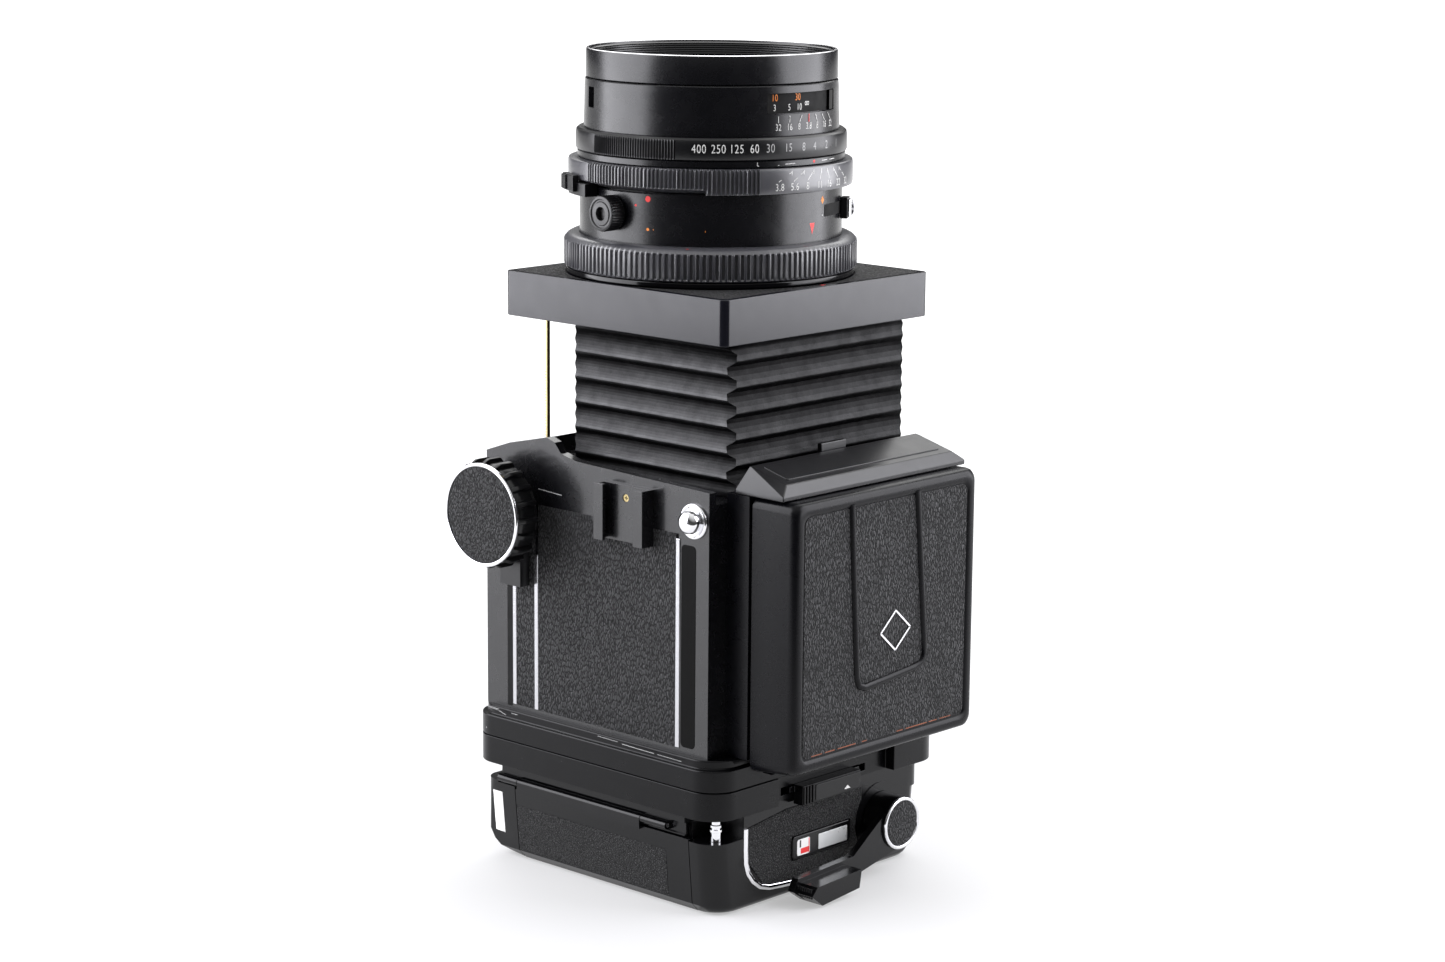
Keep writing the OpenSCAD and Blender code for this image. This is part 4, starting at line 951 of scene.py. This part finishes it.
tube("trim_band", [(51.15, y, z) for y, z in trim_path], 0.95, 0.45, (1, 0, 0), CHROME, "film_back",
     n=14)
lathe("guide_pin", [(1.7, 0), (1.7, 3.0), (2.1, 3.2), (2.1, 3.9), (1.5, 4.1), (1.5, 4.5),
                    (1.95, 4.7), (1.95, 5.3), (1.5, 5.5), (1.5, 7.4), (0.001, 7.4)],
      CHROME, "film_back", n=48, at=(46.2, -44.8, 24.1), close=False)
prism("window_plate", round_outline(-14.6, 11.9, 13.4, 19.6, 1.1), top, 51.0, 51.95, HOLDER_PAINT,
      "film_back", ("holder_trim",), edge=0.3, segs=3)
prism("counter_window", round_outline(-12.7, 12.9, -6.5, 18.3, 0.8), top, 51.9, 52.1, PAPER,
      "film_back", edge=0.08)
counter = [round_outline(-11.0, 13.4, -7.0, 15.2, 0.2), stroke((-11.2, 15.6), (-11.2, 18.0), 0.7),
           stroke((-7.0, 13.2), (-7.0, 18.0), 0.45)]
sheet("counter_marks", counter, top, 52.12, [PLASTIC, RED], "film_back",
      fmat=[1, 0, 1])
prism("label_plate", round_outline(-2.3, 13.0, 11.8, 18.1, 0.3), top, 51.9, 52.1, SILVER_LABEL,
      "film_back", edge=0.08)
HUB = (60.4, 29, 16.8)      # the advance lever's hub
lathe("lever_ring", [(7.5, 0), (8.7, 0), (8.75, 0.5), (8.5, 0.85), (7.9, 0.95), (7.6, 0.7)],
      CHROME, "advance", n=120, way=(1, 0, 0), at=HUB, angle=60)
lathe("lever_skin", [(7.7, 0), (7.6, 0.55), (7.2, 0.7), (4, 0.72), (0.001, 0.72)], LEATHER_FINE,
      "advance", n=96, way=(1, 0, 0), at=HUB, close=False, angle=60)
for k in range(9):
    x = 57.9 + k * 0.95
    slab(f"pad_rib_{k}", (x, -21.2, 3.6), (58.35 + k * 0.95, -18.4, 6.8), HOLDER_PAINT, "advance",
         edge=0.1)
for k in range(4):
    y = -14.4 + k * 1.4
    slab(f"slider_rib_{k}", (55.8, y, 31.3), (56.4, -13.7 + k * 1.4, 37.1), SATIN_PAINT, "lock",
         edge=0.15)
prism("slider_plate", round_outline(-8.6, 31.6, 13.0, 36.8, 0.4), top, 55.8, 56.25, HOLDER_PAINT,
      "lock", edge=0.15)
sheet("slider_mark", [[(5.2, 32.4), (8.2, 32.4), (6.7, 33.6)]], top, 56.27, WHITE, "lock")


def on_corner(x, z, lift):
    """The rounded left end of the film back; x along it, z up, lift outwards."""
    radius, bend = 6, -48.2
    past = min(radius - 0.1, max(0, bend - x))
    return x, -(wall(z) - radius + math.sqrt(radius * radius - past * past) + lift), z


sticker = [[(-51.0 + k, 8.2), (-50.0 + k, 8.2 - 0.05 * k), (-50.0 + k, 22.2), (-51.0 + k, 22.2)]
           for k in range(6)]
sheet("sticker", sticker, on_corner, 0.12, PAPER, "film_back", thick=0.3)

# ---------------------------------------------------------------- camera, light, floor

cam_data = bpy.data.cameras.new("camera")
cam = bpy.data.objects.new("camera", cam_data)
bpy.context.scene.collection.objects.link(cam)
bpy.context.scene.camera = cam
azimuth, elevation, roll = rad(42.832), rad(11.271), rad(0.505)     # fitted to the photograph
flat = math.cos(elevation)
back = Vector((math.sin(azimuth) * flat, -math.cos(azimuth) * flat, math.sin(elevation)))
level_way = Vector((math.cos(azimuth), math.sin(azimuth), 0))
upright = back.cross(level_way)
right_way = level_way * math.cos(roll) + upright * math.sin(roll)
up_way = -level_way * math.sin(roll) + upright * math.cos(roll)
placing = Matrix((right_way, up_way, back)).transposed().to_4x4()
placing.translation = Vector((0.7202, -0.7702, 0.3369))
cam.matrix_world = placing
cam_data.sensor_fit = "HORIZONTAL"
cam_data.sensor_width = 36
cam_data.lens = 81.72
cam_data.clip_start, cam_data.clip_end = 0.05, 20

# The room is dark at the horizon and bright overhead.
world = bpy.data.worlds.new("studio")
bpy.context.scene.world = world
world.use_nodes = True
room_nodes = world.node_tree
room_way = room_nodes.nodes.new("ShaderNodeTexCoord")
room_height = room_nodes.nodes.new("ShaderNodeSeparateXYZ")
room_nodes.links.new(room_way.outputs["Generated"], room_height.inputs["Vector"])
sky = remap(room_nodes, room_height.outputs["Z"], 0.2, 0.9, 0.06, 1.04)
room_nodes.links.new(sky, room_nodes.nodes["Background"].inputs["Strength"])
room_nodes.nodes["Background"].inputs["Color"].default_value = (1, 1, 1, 1)
bpy.context.scene.view_settings.view_transform = "Standard"


def area(name, at, aim, size, power, colour=(1, 1, 1)):
    """A rectangular light aimed at a point."""
    d = bpy.data.lights.new(name, "AREA")
    d.shape = "RECTANGLE"
    d.size, d.size_y = size
    d.energy = power
    d.color = colour
    o = bpy.data.objects.new(name, d)
    bpy.context.scene.collection.objects.link(o)
    o.location = at
    o.rotation_mode = "QUATERNION"
    o.rotation_quaternion = (Vector(aim) - Vector(at)).to_track_quat("-Z", "Y")
    return o


area("left_box", (-0.56, -0.60, 0.50), (0, 0, 0.30), (0.95, 0.95), 17, (0.95, 0.95, 1.0))
area("right_box", (0.62, 0.60, 0.50), (0, 0, 0.30), (0.9, 0.95), 15, (0.95, 0.95, 1.0))
area("back_box", (-0.45, 0.6, 1.1), (0, 0, 0.1), (1.3, 1.3), 12)

# The floor glows by place: little under the object, white far out, less out to the sides.
floor_material, floor_nodes, floor_shader = new_material("pale floor")
floor_shader.inputs["Base Color"].default_value = (0.37, 0.37, 0.375, 1)
floor_shader.inputs["Roughness"].default_value = 0.7
floor_shader.inputs["Emission Color"].default_value = (1, 1, 1, 1)
floor_place = floor_nodes.nodes.new("ShaderNodeNewGeometry")
distance = floor_nodes.nodes.new("ShaderNodeVectorMath")
distance.operation = "LENGTH"
floor_nodes.links.new(floor_place.outputs["Position"], distance.inputs[0])
near, side = Vector((back.x, back.y, 0)).normalized(), Vector((level_way.x, level_way.y, 0))


def along(way):
    dot = floor_nodes.nodes.new("ShaderNodeVectorMath")
    dot.operation = "DOT_PRODUCT"
    floor_nodes.links.new(floor_place.outputs["Position"], dot.inputs[0])
    dot.inputs[1].default_value = tuple(way)
    return dot.outputs["Value"]


aside = math_node(floor_nodes, "ABSOLUTE", along(side), 0)
behind = math_node(floor_nodes, "MULTIPLY", math_node(floor_nodes, "MAXIMUM", along(-near), 0), 0.3)
beside = remap(floor_nodes, math_node(floor_nodes, "SUBTRACT", aside, behind), 0.3, 0.8, 1, 0.35)
glow = remap(floor_nodes, distance.outputs["Value"], 0.25, 1.5, 0.4, 1.08)
strength = math_node(floor_nodes, "MULTIPLY", glow, beside)
floor_nodes.links.new(strength, floor_shader.inputs["Emission Strength"])
FLOOR, SPLIT = 30, 0.42     # metres: how far it reaches, and where its near part begins
for name, fore, rear in (("floor", SPLIT, -FLOOR), ("floor_near", FLOOR, SPLIT)):
    me = bpy.data.meshes.new(name)
    corners = [near * fore - side * FLOOR, near * fore + side * FLOOR,
               near * rear + side * FLOOR, near * rear - side * FLOOR]
    me.from_pydata([tuple(c) for c in corners], [], [(0, 1, 2, 3)])
    me.materials.append(floor_material)
    floor = bpy.data.objects.new(name, me)
    bpy.context.scene.collection.objects.link(floor)
    if name == "floor_near":        # the room behind the photographer is dark
        floor.visible_glossy = floor.visible_diffuse = False
